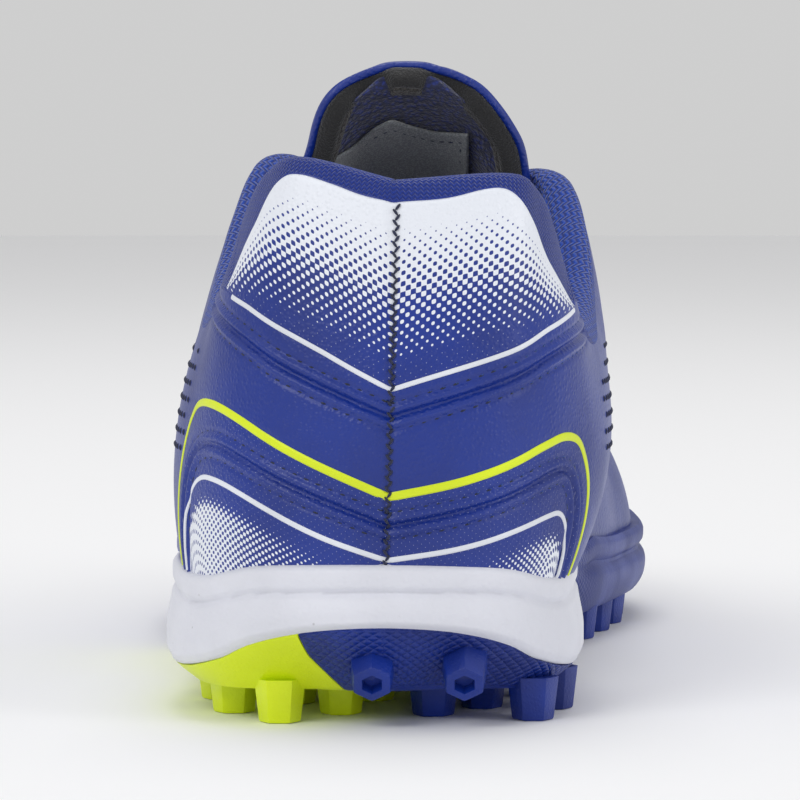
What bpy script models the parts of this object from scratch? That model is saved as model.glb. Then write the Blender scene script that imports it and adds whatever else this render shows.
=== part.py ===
"""A left turf shoe, adult size 42, as an assembly of separate solids.

The sole follows a closed outline, and the upper is one function of two numbers: `along`, which runs
round the foot from the heel seam (0) to the toe (1 medial, -1 lateral), and `up`, which runs from the
feather line on the footbed (0) to the collar, throat or ridge (1). Every overlay is cut from that
same function. +Y points to the toe, +X to the medial side, +Z up, and the floor is z = 0.
"""

import math
from collections import namedtuple

import bmesh
import bpy
from mathutils import Vector

MM = 0.001

# Driving sizes of the sole
LENGTH = 286 * MM
HEEL_WIDTH = 78 * MM
WAIST_WIDTH = 77 * MM
BALL_WIDTH = 102 * MM
TOE_TIP_ACROSS = 9.5 * MM
STUD_HEIGHT = 6 * MM
STUD_WIDTH = 8.1 * MM
STUD_ROOT = 1.6 * MM
STUD_DIMPLE = 3.2 * MM
DIMPLE_DEPTH = 2 * MM
PLATE = 2.6 * MM
HEEL_STACK = 15.5 * MM
BALL_STACK = 6 * MM
TOE_SPRING = 11 * MM
ARCH_RISE = 3 * MM
RIM_HEIGHT = 7 * MM
CUP_HEIGHT = 8.5 * MM
CUP_WALL = 3.2 * MM
HEEL_LEDGE = 4.2 * MM
LEDGE_SLOPE = 2 * MM
HEEL_BEVEL = 8 * MM
HEEL_UNDERCUT = 5 * MM
FORE_UNDERCUT = 3 * MM

# Driving sizes of the upper and what lies in it
HEEL_HEIGHT = 99 * MM
TONGUE_HEIGHT = 120.6 * MM
HEEL_FEATHER = 4.8 * MM
FORE_FEATHER = 3.3 * MM
HEEL_WALL = 3 * MM
VAMP_WALL = 2.2 * MM
COLLAR_PAD = 9 * MM
OVERLAY = 1 * MM
EYESTAY_BAND = 15 * MM
EYESTAY_BACK = 0.42
EYESTAY_FRONT = 0.70
EYELET_WIDTH = 4.4 * MM
EYELET_PAIRS = 6
INSOLE = 4 * MM
TONGUE_WALL = 4 * MM
TONGUE_TIP_WALL = 5.5 * MM
TONGUE_PUFF = 2.6 * MM
LACE_WIDTH = 6 * MM
LACE_THICKNESS = 1.3 * MM
LACE_REST = 0.8 * MM

# Clearances between neighbours
GAP = 0.3 * MM
SLACK = 0.4 * MM
OVERLAY_GAP = 0.6 * MM
TONGUE_GAP = 0.8 * MM

# Stations along each side from heel seam to toe, close together where the outline turns, and the
# one where the throat closes
STATIONS = (
    *(0.000, 0.022, 0.046, 0.072, 0.100, 0.130, 0.160, 0.195, 0.235, 0.275, 0.310, 0.345, 0.380),
    *(0.420, 0.460, 0.500, 0.540, 0.575, 0.603, 0.625, 0.660, 0.700, 0.745, 0.790, 0.830, 0.865),
    *(0.900, 0.935, 0.970, 1.000),
)
THROAT = 0.625
STEP = 0.0005
OUTLINE_SAMPLES = 400

# The sole's outline. `y` is a share of LENGTH, and the two sides are shares of the named width.
OutlineRow = namedtuple("OutlineRow", "y width lateral medial")
OUTLINE = (
    OutlineRow(0.009, HEEL_WIDTH, 0.180, 0.167),
    OutlineRow(0.035, HEEL_WIDTH, 0.346, 0.320),
    OutlineRow(0.080, HEEL_WIDTH, 0.472, 0.431),
    OutlineRow(0.147, HEEL_WIDTH, 0.526, 0.474),
    OutlineRow(0.252, WAIST_WIDTH, 0.520, 0.474),
    OutlineRow(0.374, WAIST_WIDTH, 0.513, 0.471),
    OutlineRow(0.500, BALL_WIDTH, 0.417, 0.407),
    OutlineRow(0.620, BALL_WIDTH, 0.456, 0.490),
    OutlineRow(0.720, BALL_WIDTH, 0.454, 0.544),
    OutlineRow(0.805, BALL_WIDTH, 0.412, 0.534),
    OutlineRow(0.880, BALL_WIDTH, 0.324, 0.471),
    OutlineRow(0.940, BALL_WIDTH, 0.200, 0.368),
    OutlineRow(0.980, BALL_WIDTH, 0.093, 0.270),
)

# Where the blue heel wall meets the white foam: `y` of LENGTH, `z` of the stack above the plate.
PartingRow = namedtuple("PartingRow", "y z")
PARTING = (
    PartingRow(0.000, 0.806),
    PartingRow(0.010, 0.720),
    PartingRow(0.031, 0.496),
    PartingRow(0.049, 0.264),
    PartingRow(0.087, 0.078),
    PartingRow(0.160, 0.062),
    PartingRow(0.250, 0.070),
)

# How the rim of the foam rises and falls round the heel: `z` is a share of RIM_HEIGHT.
RimRow = namedtuple("RimRow", "y z")
RIM = (
    RimRow(0.000, 1.25),
    RimRow(0.028, 1.12),
    RimRow(0.070, 0.72),
    RimRow(0.140, 0.90),
    RimRow(0.220, 1.00),
    RimRow(0.500, 1.00),
)

# Top edge of the upper: `y` of LENGTH, the sides' `x` of HEEL_WIDTH, `z` of HEEL_HEIGHT.
EdgeRow = namedtuple("EdgeRow", "u y lateral_x lateral_z medial_x medial_z")
EDGE = (
    EdgeRow(0.0000, 0.0315, 0.023, 0.985, 0.023, 0.985),
    EdgeRow(0.0500, 0.0520, -0.200, 1.025, 0.295, 0.995),
    EdgeRow(0.0850, 0.0730, -0.275, 1.000, 0.360, 0.965),
    EdgeRow(0.1100, 0.0980, -0.328, 0.925, 0.401, 0.888),
    EdgeRow(0.1400, 0.1400, -0.385, 0.765, 0.449, 0.732),
    EdgeRow(0.1900, 0.2030, -0.425, 0.738, 0.490, 0.708),
    EdgeRow(0.2400, 0.2660, -0.419, 0.800, 0.502, 0.770),
    EdgeRow(0.2900, 0.3220, -0.388, 0.905, 0.495, 0.880),
    EdgeRow(0.3350, 0.3710, -0.333, 1.010, 0.457, 0.975),
    EdgeRow(0.3750, 0.4100, -0.244, 1.020, 0.362, 0.992),
    EdgeRow(0.4250, 0.4500, -0.199, 0.965, 0.314, 0.945),
    EdgeRow(0.5000, 0.5240, -0.109, 0.823, 0.250, 0.823),
    EdgeRow(0.5750, 0.6120, -0.090, 0.692, 0.218, 0.692),
    EdgeRow(0.6000, 0.6500, -0.051, 0.666, 0.179, 0.666),
    EdgeRow(0.6250, 0.6640, 0.064, 0.657, 0.064, 0.657),
)

# Ridge of the vamp in front of the throat, with the same shares.
RidgeRow = namedtuple("RidgeRow", "u y x z")
RIDGE = (
    RidgeRow(0.625, 0.664, 0.064, 0.657),
    RidgeRow(0.700, 0.717, 0.068, 0.611),
    RidgeRow(0.800, 0.783, 0.080, 0.566),
    RidgeRow(0.900, 0.843, 0.098, 0.530),
    RidgeRow(1.000, 0.874, 0.109, 0.505),
)

# Shape of a wall section between feather line and top edge: how far each of its two handles has gone
# across and up, and the outward swell of each side as a share of HEEL_WIDTH.
SectionRow = namedtuple("SectionRow", "u low_across low_up high_across high_up lateral medial")
SECTION = (
    SectionRow(0.000, 0.33, 0.33, 0.67, 0.67, 0.041, 0.041),
    SectionRow(0.100, 0.33, 0.33, 0.67, 0.67, 0.050, 0.060),
    SectionRow(0.200, 0.33, 0.33, 0.67, 0.67, 0.056, 0.078),
    SectionRow(0.300, 0.25, 0.36, 0.66, 0.72, 0.058, 0.080),
    SectionRow(0.360, 0.10, 0.42, 0.60, 0.82, 0.051, 0.072),
    SectionRow(0.450, 0.03, 0.48, 0.52, 0.88, 0.038, 0.055),
    SectionRow(0.560, 0.00, 0.52, 0.48, 0.93, 0.026, 0.036),
    SectionRow(0.625, 0.00, 0.55, 0.45, 1.00, 0.019, 0.026),
    SectionRow(0.750, 0.00, 0.56, 0.44, 1.00, 0.013, 0.013),
    SectionRow(0.900, 0.00, 0.60, 0.42, 0.92, 0.013, 0.013),
    SectionRow(1.000, 0.00, 0.62, 0.42, 0.86, 0.006, 0.006),
)

# Thickness of the padding at the top edge as a share of COLLAR_PAD.
PadRow = namedtuple("PadRow", "u pad")
PADDING = (
    PadRow(0.000, 0.62),
    PadRow(0.080, 0.78),
    PadRow(0.140, 1.00),
    PadRow(0.240, 1.00),
    PadRow(0.290, 0.90),
    PadRow(0.335, 0.64),
    PadRow(0.375, 0.40),
    PadRow(0.425, 0.28),
    PadRow(0.500, 0.24),
    PadRow(1.000, 0.24),
)

# Rows of a wall section, the part of them that the sole wraps, and the roll of the top edge:
# shares of the local thickness inwards and upwards.
UP_ROWS = (0.0, 0.06, 0.15, 0.27, 0.40, 0.53, 0.66, 0.78, 0.90, 1.0)
WRAPPED_ROWS = 5
RollRow = namedtuple("RollRow", "inward upward")
ROLL = (RollRow(0.18, 0.24), RollRow(0.50, 0.32), RollRow(0.82, 0.24))

# Lower edge of the heel tab and upper edge of the counter: `z` is a share of HEEL_HEIGHT.
BandRow = namedtuple("BandRow", "u lateral medial")
TAB_EDGE = (
    BandRow(0.000, 0.585, 0.585),
    BandRow(0.050, 0.645, 0.632),
    BandRow(0.100, 0.705, 0.680),
    BandRow(0.125, 0.730, 0.700),
)
TAB_BINDING = 4.5 * MM
COUNTER_EDGE = (
    BandRow(0.000, 0.366, 0.366),
    BandRow(0.050, 0.430, 0.415),
    BandRow(0.100, 0.500, 0.470),
    BandRow(0.125, 0.510, 0.475),
    BandRow(0.160, 0.455, 0.425),
    BandRow(0.195, 0.345, 0.335),
)

# Studs. Heel studs are placed by hand in shares of HEEL_WIDTH and LENGTH; fore studs stand in rows.
StudRow = namedtuple("StudRow", "x y")
REAR_STUDS = (StudRow(-0.027, 0.014), StudRow(0.187, 0.014))
REAR_STUD_AXIS = Vector((0, -0.866, -0.5))
REAR_STUD_LENGTH = 6.4 * MM
REAR_STUD_END = 8.3 * MM
DIMPLED_STUDS = 8
HEEL_STUDS = (
    StudRow(-0.245, 0.059),
    StudRow(0.349, 0.073),
    StudRow(-0.360, 0.112),
    StudRow(-0.105, 0.103),
    StudRow(0.115, 0.095),
    StudRow(0.400, 0.133),
    StudRow(0.231, 0.136),
    StudRow(-0.220, 0.161),
    StudRow(-0.030, 0.178),
    StudRow(-0.400, 0.185),
    StudRow(0.150, 0.196),
    StudRow(0.365, 0.200),
    StudRow(-0.230, 0.230),
    StudRow(-0.400, 0.256),
    StudRow(-0.050, 0.250),
    StudRow(0.230, 0.262),
    StudRow(0.395, 0.276),
)
ForeRow = namedtuple("ForeRow", "y count")
FORE_STUDS = (
    ForeRow(0.535, 4),
    ForeRow(0.590, 5),
    ForeRow(0.645, 6),
    ForeRow(0.700, 6),
    ForeRow(0.755, 6),
    ForeRow(0.810, 6),
    ForeRow(0.865, 5),
    ForeRow(0.920, 3),
)
FORE_STUD_MARGIN = 9 * MM

# Plan of the neon pod under the lateral heel: shares of HEEL_WIDTH and LENGTH.
POD = (
    StudRow(-0.218, -0.030),
    StudRow(-0.218, 0.007),
    StudRow(-0.176, 0.028),
    StudRow(-0.109, 0.045),
    StudRow(-0.046, 0.060),
    StudRow(0.020, 0.105),
    StudRow(0.070, 0.175),
    StudRow(0.100, 0.240),
    StudRow(0.150, 0.332),
    StudRow(0.150, 0.378),
    StudRow(0.080, 0.427),
    StudRow(-0.080, 0.462),
    StudRow(-0.280, 0.483),
    StudRow(-0.750, 0.490),
    StudRow(-0.750, -0.030),
)

# Free end of the tongue above the throat: shares of HEEL_WIDTH, LENGTH and TONGUE_HEIGHT.
TongueRow = namedtuple("TongueRow", "y middle_z edge_z centre_x half_width")
TONGUE_END = (
    TongueRow(0.395, 0.930, 0.850, 0.069, 0.277),
    TongueRow(0.378, 0.958, 0.900, 0.062, 0.250),
    TongueRow(0.367, 0.978, 0.938, 0.053, 0.217),
    TongueRow(0.361, 0.990, 0.967, 0.052, 0.174),
    TongueRow(0.3575, 0.997, 0.987, 0.051, 0.110),
    TongueRow(0.356, 0.9995, 0.998, 0.046, 0.052),
)
TONGUE_WRAP = 8 * MM
TONGUE_FRONT = 0.70
TONGUE_BACK = 0.38
TONGUE_WING_ROWS = (0.78, 0.90, 0.97)
TONGUE_BRIDGE = 5

# Colours as linear red, green, blue, with roughness
Finish = namedtuple("Finish", "colour roughness")
ROYAL = Finish((0.010, 0.045, 0.310), 0.42)
RUBBER_BLUE = Finish((0.008, 0.040, 0.300), 0.55)
NEON = Finish((0.800, 0.920, 0.010), 0.45)
FOAM_WHITE = Finish((0.780, 0.790, 0.830), 0.60)
KNIT_NAVY = Finish((0.008, 0.030, 0.200), 0.90)
LACE_BLUE = Finish((0.010, 0.050, 0.340), 0.85)


def through(table, column, x, key="u"):
    """A smooth curve through one column of a table, flat beyond its ends."""
    knots = [getattr(row, key) for row in table]
    values = [getattr(row, column) for row in table]
    if x <= knots[0]:
        return values[0]
    if x >= knots[-1]:
        return values[-1]
    i = max(k for k in range(len(knots) - 1) if knots[k] <= x)
    span = knots[i + 1] - knots[i]

    def slope(k):
        before = max(k - 1, 0)
        after = min(k + 1, len(knots) - 1)
        return (values[after] - values[before]) / (knots[after] - knots[before])

    s = (x - knots[i]) / span
    return hermite(values[i], values[i + 1], slope(i) * span, slope(i + 1) * span, s)


def hermite(start, end, leave, arrive, s):
    return (
        start * (2 * s**3 - 3 * s**2 + 1)
        + leave * (s**3 - 2 * s**2 + s)
        + end * (3 * s**2 - 2 * s**3)
        + arrive * (s**3 - s**2)
    )


def blend(low, high, s):
    return low + (high - low) * s


def ease(low, high, x):
    s = min(max((x - low) / (high - low), 0.0), 1.0)
    return s * s * (3 - 2 * s)


def outline_knots():
    """The outline's own points, counter-clockwise from the heel seam."""
    medial = [Vector((row.medial * row.width, row.y * LENGTH)) for row in OUTLINE]
    lateral = [Vector((-row.lateral * row.width, row.y * LENGTH)) for row in reversed(OUTLINE)]
    return [Vector((0, 0))] + medial + [Vector((TOE_TIP_ACROSS, LENGTH))] + lateral


def outline_sides():
    """Evenly spaced points from heel to toe along each side of a closed curve through the knots."""
    knots = outline_knots()
    count = len(knots)
    chord = [(knots[(i + 1) % count] - knots[i]).length for i in range(count)]
    tangent = []
    for i in range(count):
        arriving = (knots[i] - knots[i - 1]) / chord[i - 1]
        leaving = (knots[(i + 1) % count] - knots[i]) / chord[i]
        share = chord[i - 1] / (chord[i - 1] + chord[i])
        tangent.append(arriving.lerp(leaving, share))
    fine = 24
    dense = []
    for i in range(count):
        j = (i + 1) % count
        for k in range(fine):
            dense.append(
                hermite(knots[i], knots[j], tangent[i] * chord[i], tangent[j] * chord[i], k / fine)
            )
    toe = (len(OUTLINE) + 1) * fine
    medial = dense[: toe + 1]
    lateral = [dense[0]] + dense[: toe - 1 : -1]
    return {1: even(medial), -1: even(lateral)}


def even(points):
    """The same line with OUTLINE_SAMPLES steps of equal length."""
    run = [0.0]
    for before, after in zip(points, points[1:]):
        run.append(run[-1] + (after - before).length)
    out = []
    i = 0
    for k in range(OUTLINE_SAMPLES + 1):
        target = run[-1] * k / OUTLINE_SAMPLES
        while i < len(run) - 2 and run[i + 1] < target:
            i += 1
        out.append(points[i].lerp(points[i + 1], (target - run[i]) / (run[i + 1] - run[i])))
    return out


SIDES = outline_sides()


def wrap(along):
    if along > 1:
        return along - 2
    if along < -1:
        return along + 2
    return along


def on_outline(along):
    along = wrap(along)
    side = SIDES[1] if along >= 0 else SIDES[-1]
    place = abs(along) * OUTLINE_SAMPLES
    i = min(int(place), OUTLINE_SAMPLES - 1)
    return side[i].lerp(side[i + 1], place - i)


def outline_normal(along):
    reach = 3 / OUTLINE_SAMPLES
    run = on_outline(along + reach) - on_outline(along - reach)
    return Vector((run.y, -run.x)).normalized()


def plan(along, inset):
    """A point of the outline moved inwards."""
    return on_outline(along) - outline_normal(along) * inset


def spring(y):
    return TOE_SPRING * max((y / LENGTH - 0.74) / 0.26, 0.0) ** 1.8


def plate_bottom(y):
    arch = ease(0.30, 0.38, y / LENGTH) * (1 - ease(0.44, 0.52, y / LENGTH))
    return STUD_HEIGHT + spring(y) + ARCH_RISE * arch


def plate_top(y):
    return plate_bottom(y) + PLATE


def bed(y):
    """Height of the footbed: the top of the foam that the upper stands on."""
    stack = blend(HEEL_STACK, BALL_STACK, ease(0.30, 0.62, y / LENGTH))
    return STUD_HEIGHT + stack + spring(y)


def rim_top(y):
    share = through(RIM, "z", y / LENGTH, key="y")
    fade = ease(0.49, 0.54, y / LENGTH)
    return bed(y) + blend(share * RIM_HEIGHT, 2 * GAP, fade)


def sole_wall_top(y):
    """Top of the blue rubber: a low wall round the heel that climbs into the forefoot cup."""
    low = plate_top(y) + through(PARTING, "z", y / LENGTH, key="y") * (bed(y) - plate_top(y))
    under_rim = bed(y) + 0.74 * RIM_HEIGHT
    cup = bed(y) + CUP_HEIGHT
    climbing = blend(low, under_rim, ease(0.29, 0.44, y / LENGTH))
    return blend(climbing, cup, ease(0.49, 0.54, y / LENGTH))


def cup_share(y):
    """0 where the foam shows outside, 1 where the rubber cup wraps it."""
    return ease(0.44, 0.54, y / LENGTH)


def undercut(along):
    """How far the sole's bottom edge is set in from its outline."""
    y = on_outline(along).y
    bevel = HEEL_BEVEL * (1 - ease(0.05, 0.12, abs(along)))
    return blend(HEEL_UNDERCUT + bevel, FORE_UNDERCUT, cup_share(y))


def ledge(along):
    """Width of the top of the rubber wall, which the foam or the upper covers."""
    return blend(HEEL_LEDGE, CUP_WALL, cup_share(on_outline(along).y))


def feather(along):
    return blend(HEEL_FEATHER, FORE_FEATHER, ease(0.30, 0.55, on_outline(along).y / LENGTH))


def lifted(along, inset, height):
    """A point over the outline, with its height read from a function of y."""
    point = plan(along, inset)
    return Vector((point.x, point.y, height(point.y)))


def foot_edge(along):
    """The top edge of the upper: collar and throat, then the ridge of the vamp."""
    u = abs(along)
    if u >= THROAT:
        table, x, z = RIDGE, "x", "z"
    elif along < 0:
        table, x, z = EDGE, "lateral_x", "lateral_z"
    else:
        table, x, z = EDGE, "medial_x", "medial_z"
    return Vector(
        (
            through(table, x, u) * HEEL_WIDTH,
            through(table, "y", u) * LENGTH,
            through(table, z, u) * HEEL_HEIGHT,
        )
    )


def skin(along, up):
    """A point of the upper's outer face."""
    along = wrap(along)
    u = abs(along)
    base = plan(along, feather(along))
    start = Vector((base.x, base.y, bed(base.y) + GAP))
    end = foot_edge(along)
    across = Vector((end.x - start.x, end.y - start.y, 0))
    rise = Vector((0, 0, end.z - start.z))
    outward = outline_normal(along).to_3d()
    swell = outward * through(SECTION, "lateral" if along < 0 else "medial", u) * HEEL_WIDTH * 4 / 3
    low = (
        start
        + across * through(SECTION, "low_across", u)
        + rise * through(SECTION, "low_up", u)
        + swell
    )
    high = (
        start
        + across * through(SECTION, "high_across", u)
        + rise * through(SECTION, "high_up", u)
        + swell
    )
    rest = 1 - up
    return rest**3 * start + 3 * rest**2 * up * low + 3 * rest * up**2 * high + up**3 * end


def one_sided_normal(along, up):
    below = max(up - STEP, 0)
    above = min(up + STEP, 1)
    side = math.copysign(1, along)
    before = along - STEP
    after = along + STEP
    if side * along >= THROAT - STEP and side * along < 1 - STEP:
        if side > 0:
            before, after = along, along + STEP
        else:
            before, after = along - STEP, along
    run = skin(after, up) - skin(before, up)
    climb = skin(along, above) - skin(along, below)
    return run.cross(climb).normalized()


def skin_normal(along, up):
    """Outward normal, the same on both halves where they meet along the ridge."""
    normal = one_sided_normal(along, up)
    if up >= 1 and abs(along) >= THROAT:
        normal = (normal + one_sided_normal(-along, up)).normalized()
    return normal


def shell(along, up, out):
    """A point of the upper's outer face moved outwards, or inwards if `out` is negative."""
    return skin(along, up) + skin_normal(along, up) * out


def wall(along, up):
    """Thickness of the upper, padded towards the collar."""
    base = blend(HEEL_WALL, VAMP_WALL, ease(0.30, 0.60, abs(along)))
    edge = through(PADDING, "pad", abs(along)) * COLLAR_PAD
    return blend(base, edge, ease(0.45, 0.90, up))


def up_at_height(along, z):
    """The share of the way up where the upper's outer face reaches a height."""
    low, high = 0.0, 1.0
    for _ in range(30):
        middle = (low + high) / 2
        if skin(along, middle).z < z:
            low = middle
        else:
            high = middle
    return (low + high) / 2


def ring_stations():
    """Stations of a closed ring, counter-clockwise from the heel seam."""
    lateral = [-u for u in reversed(STATIONS[1:-1])]
    return list(STATIONS) + lateral


RING = ring_stations()


def cap(order):
    """Faces that close a ring from side to side, for a ring of vertex numbers seen from outside."""
    count = len(order)
    faces = [(order[0], order[1], order[-1])]
    for i in range(1, count // 2 - 1):
        faces.append((order[i], order[i + 1], order[count - i - 1], order[count - i]))
    faces.append((order[count // 2 - 1], order[count // 2], order[count // 2 + 1]))
    return faces


def loft(rings):
    """Vertices and faces of a solid whose rings run from its top centre outwards and down."""
    size = len(rings[0])
    points = [point for ring in rings for point in ring]
    faces = cap(list(range(size)))
    for k in range(len(rings) - 1):
        for j in range(size):
            after = (j + 1) % size
            low = (k + 1) * size
            high = k * size
            faces.append((low + j, low + after, high + after, high + j))
    bottom = (len(rings) - 1) * size
    faces += [tuple(reversed(face)) for face in cap([bottom + j for j in range(size)])]
    return points, faces


def collection(name):
    found = bpy.data.collections.new(name)
    bpy.context.scene.collection.children.link(found)
    return found


def material(name, finish):
    made = bpy.data.materials.new(name)
    made.use_nodes = True
    shader = made.node_tree.nodes["Principled BSDF"]
    shader.inputs["Base Color"].default_value = (*finish.colour, 1)
    shader.inputs["Roughness"].default_value = finish.roughness
    shader.inputs["Metallic"].default_value = 0
    made.diffuse_color = (*finish.colour, 1)
    return made


def add_solid(name, points, faces, finish=None, cutter=False):
    """One object from points and faces, its faces split into triangles in a fixed way."""
    mesh = bpy.data.meshes.new(name)
    mesh.from_pydata([tuple(point) for point in points], [], faces)
    work = bmesh.new()
    work.from_mesh(mesh)
    bmesh.ops.triangulate(work, faces=work.faces[:], quad_method="FIXED")
    work.to_mesh(mesh)
    work.free()
    solid = bpy.data.objects.new(name, mesh)
    if cutter:
        CUTTERS.objects.link(solid)
        solid.hide_render = True
        solid.display_type = "WIRE"
    else:
        PARTS.objects.link(solid)
        mesh.materials.append(material(name, finish))
        mesh.shade_smooth()
        mesh.set_sharp_from_angle(angle=math.radians(35))
    return solid


def cut(solid, other, operation):
    """An exact Boolean, left on the object as a modifier."""
    change = solid.modifiers.new(f"{operation.lower()} {other.name}", "BOOLEAN")
    change.operation = operation
    change.solver = "EXACT"
    change.object = other


def settle(solid):
    """Replace an object's mesh by what its modifiers make of it."""
    bpy.context.view_layer.update()
    evaluated = solid.evaluated_get(bpy.context.evaluated_depsgraph_get())
    mesh = bpy.data.meshes.new_from_object(evaluated)
    solid.modifiers.clear()
    solid.data = mesh


class Skin:
    """Points kept under a key each, and the faces between them."""

    def __init__(self):
        self.points = []
        self.numbers = {}
        self.faces = []

    def point(self, key, place):
        if key not in self.numbers:
            self.numbers[key] = len(self.points)
            self.points.append(place)

    def face(self, *keys):
        numbers = []
        for key in keys:
            number = self.numbers[key]
            if number not in numbers:
                numbers.append(number)
        if len(numbers) > 2:
            self.faces.append(tuple(numbers))


def outsole_rings(grow):
    """Rings of the rubber sole, larger by `grow` all over where it serves as a cutter."""

    def ring(inset, height):
        return [lifted(along, inset(along), height) for along in RING]

    def top_inset(along):
        return blend(1.0 * MM, 0.3 * MM, cup_share(on_outline(along).y)) - grow

    def side_inset(share, cup_inset):
        def inset(along):
            heel = blend(1.0 * MM, undercut(along), 1 - share)
            return blend(heel, cup_inset, cup_share(on_outline(along).y)) - grow

        return inset

    def side_height(share):
        def height(y):
            return blend(plate_bottom(y) - grow, sole_wall_top(y) + grow, share)

        return height

    groove = 1.3 * MM
    groove_up = 0.68
    bulge_up = 0.35
    return [
        ring(lambda a: undercut(a) + LEDGE_SLOPE + grow, lambda y: plate_top(y) + grow),
        ring(lambda a: ledge(a) + grow, lambda y: sole_wall_top(y) + grow),
        ring(top_inset, lambda y: sole_wall_top(y) + grow),
        ring(side_inset(groove_up, groove), side_height(groove_up)),
        ring(side_inset(bulge_up, 0.0), side_height(bulge_up)),
        ring(lambda a: undercut(a) - grow, lambda y: plate_bottom(y) - grow),
    ]


def last_rings(grow):
    """Rings of what the sole wraps: the outer face of the upper near the footbed."""
    rings = [
        [shell(along, up, grow) for along in RING] for up in reversed(UP_ROWS[1:WRAPPED_ROWS])
    ]
    rings.append([lifted(along, feather(along) - grow, bed) for along in RING])
    return rings


def hexagon_stud(name, base, tip, dimpled):
    """A tapered hexagonal stud along the line from base to tip, some with a dimple in the end."""
    axis = tip - base
    bpy.ops.mesh.primitive_cone_add(
        vertices=6,
        radius1=STUD_WIDTH * 0.57,
        radius2=STUD_WIDTH * 0.48,
        depth=axis.length,
        end_fill_type="NGON",
    )
    stud = bpy.context.active_object
    stud.name = name
    work = bmesh.new()
    work.from_mesh(stud.data)
    if dimpled:
        end = max(work.faces, key=lambda face: face.calc_center_median().z)
        margin = (end.calc_perimeter() / 6 - STUD_DIMPLE / 2) * math.sqrt(3) / 2
        bmesh.ops.inset_region(work, faces=[end], thickness=margin)
        bmesh.ops.translate(work, verts=end.verts, vec=(0, 0, -DIMPLE_DEPTH))
    turn = Vector((0, 0, 1)).rotation_difference(axis.normalized()).to_matrix().to_4x4()
    turn.translation = (base + tip) / 2
    bmesh.ops.transform(work, matrix=turn, verts=work.verts)
    work.to_mesh(stud.data)
    work.free()
    for holder in stud.users_collection:
        holder.objects.unlink(stud)
    CUTTERS.objects.link(stud)
    stud.hide_render = True
    stud.display_type = "WIRE"
    return stud


def side_at(y, side):
    """How far out the outline is at a place along the shoe."""
    nearest = min(SIDES[side], key=lambda point: abs(point.y - y))
    return nearest.x


def stud_lines():
    """Base and tip of every stud."""
    lines = []
    for row in REAR_STUDS:
        tip = Vector((row.x * HEEL_WIDTH, row.y * LENGTH, REAR_STUD_END))
        lines.append((tip - REAR_STUD_AXIS * REAR_STUD_LENGTH, tip))
    upright = [Vector((row.x * HEEL_WIDTH, row.y * LENGTH, 0)) for row in HEEL_STUDS]
    for row in FORE_STUDS:
        y = row.y * LENGTH
        low = side_at(y, -1) + FORE_STUD_MARGIN
        high = side_at(y, 1) - FORE_STUD_MARGIN
        for k in range(row.count):
            share = k / (row.count - 1)
            bend = 0.035 * LENGTH * (2 * share - 1) ** 2
            upright.append(Vector((blend(low, high, share), y - bend, 0)))
    for foot in upright:
        root = plate_bottom(foot.y) + STUD_ROOT
        tip = plate_bottom(foot.y) - STUD_HEIGHT
        lines.append((Vector((foot.x, foot.y, root)), Vector((foot.x, foot.y, tip))))
    return lines


def inside_pod(x, y):
    """Whether a place in plan lies in the neon pod."""
    corners = [(row.x * HEEL_WIDTH, row.y * LENGTH) for row in POD]
    inside = False
    for (ax, ay), (bx, by) in zip(corners, corners[1:] + corners[:1]):
        if (ay > y) != (by > y) and x < ax + (y - ay) / (by - ay) * (bx - ax):
            inside = not inside
    return inside


def pod_prism(name, grow):
    """An upright prism over the pod's plan, its sides moved outwards by `grow`."""
    corners = [Vector((row.x * HEEL_WIDTH, row.y * LENGTH)) for row in POD]
    count = len(corners)
    moved = []
    for i, corner in enumerate(corners):
        before = (corner - corners[i - 1]).normalized()
        after = (corners[(i + 1) % count] - corner).normalized()
        normal = Vector((before.y + after.y, -before.x - after.x)).normalized()
        lean = max(normal.dot(Vector((before.y, -before.x))), 0.5)
        moved.append(corner + normal * grow / lean)
    low = [Vector((point.x, point.y, -STUD_HEIGHT)) for point in moved]
    high = [Vector((point.x, point.y, HEEL_HEIGHT)) for point in moved]
    sides = []
    for i in range(count):
        j = (i + 1) % count
        sides.append((i, j, count + j, count + i))
    faces = [tuple(reversed(range(count))), tuple(range(count, 2 * count))] + sides
    return add_solid(name, low + high, faces, cutter=True)


def build_sole():
    """The rubber outsole in two colours, and the foam midsole between it and the upper."""
    last = add_solid("wrapped upper", *loft(last_rings(GAP)), cutter=True)
    rubber = outsole_rings(0)
    outsole = add_solid("outsole", *loft(rubber), finish=RUBBER_BLUE)
    cut(outsole, last, "DIFFERENCE")
    settle(outsole)
    pod = outsole.copy()
    pod.data = outsole.data.copy()
    pod.name = "outsole_lateral"
    PARTS.objects.link(pod)
    pod.data.materials[0] = material("outsole_lateral", NEON)
    cut(pod, pod_prism("pod plan", 0), "INTERSECT")
    cut(outsole, pod_prism("pod plan with gap", GAP), "DIFFERENCE")
    settle(pod)
    settle(outsole)
    for number, (base, tip) in enumerate(stud_lines()):
        dimpled = number < DIMPLED_STUDS
        stud = hexagon_stud(f"stud {number}", base, tip, dimpled)
        cut(pod if inside_pod(base.x, base.y) else outsole, stud, "UNION")
    build_midsole(last)


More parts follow.
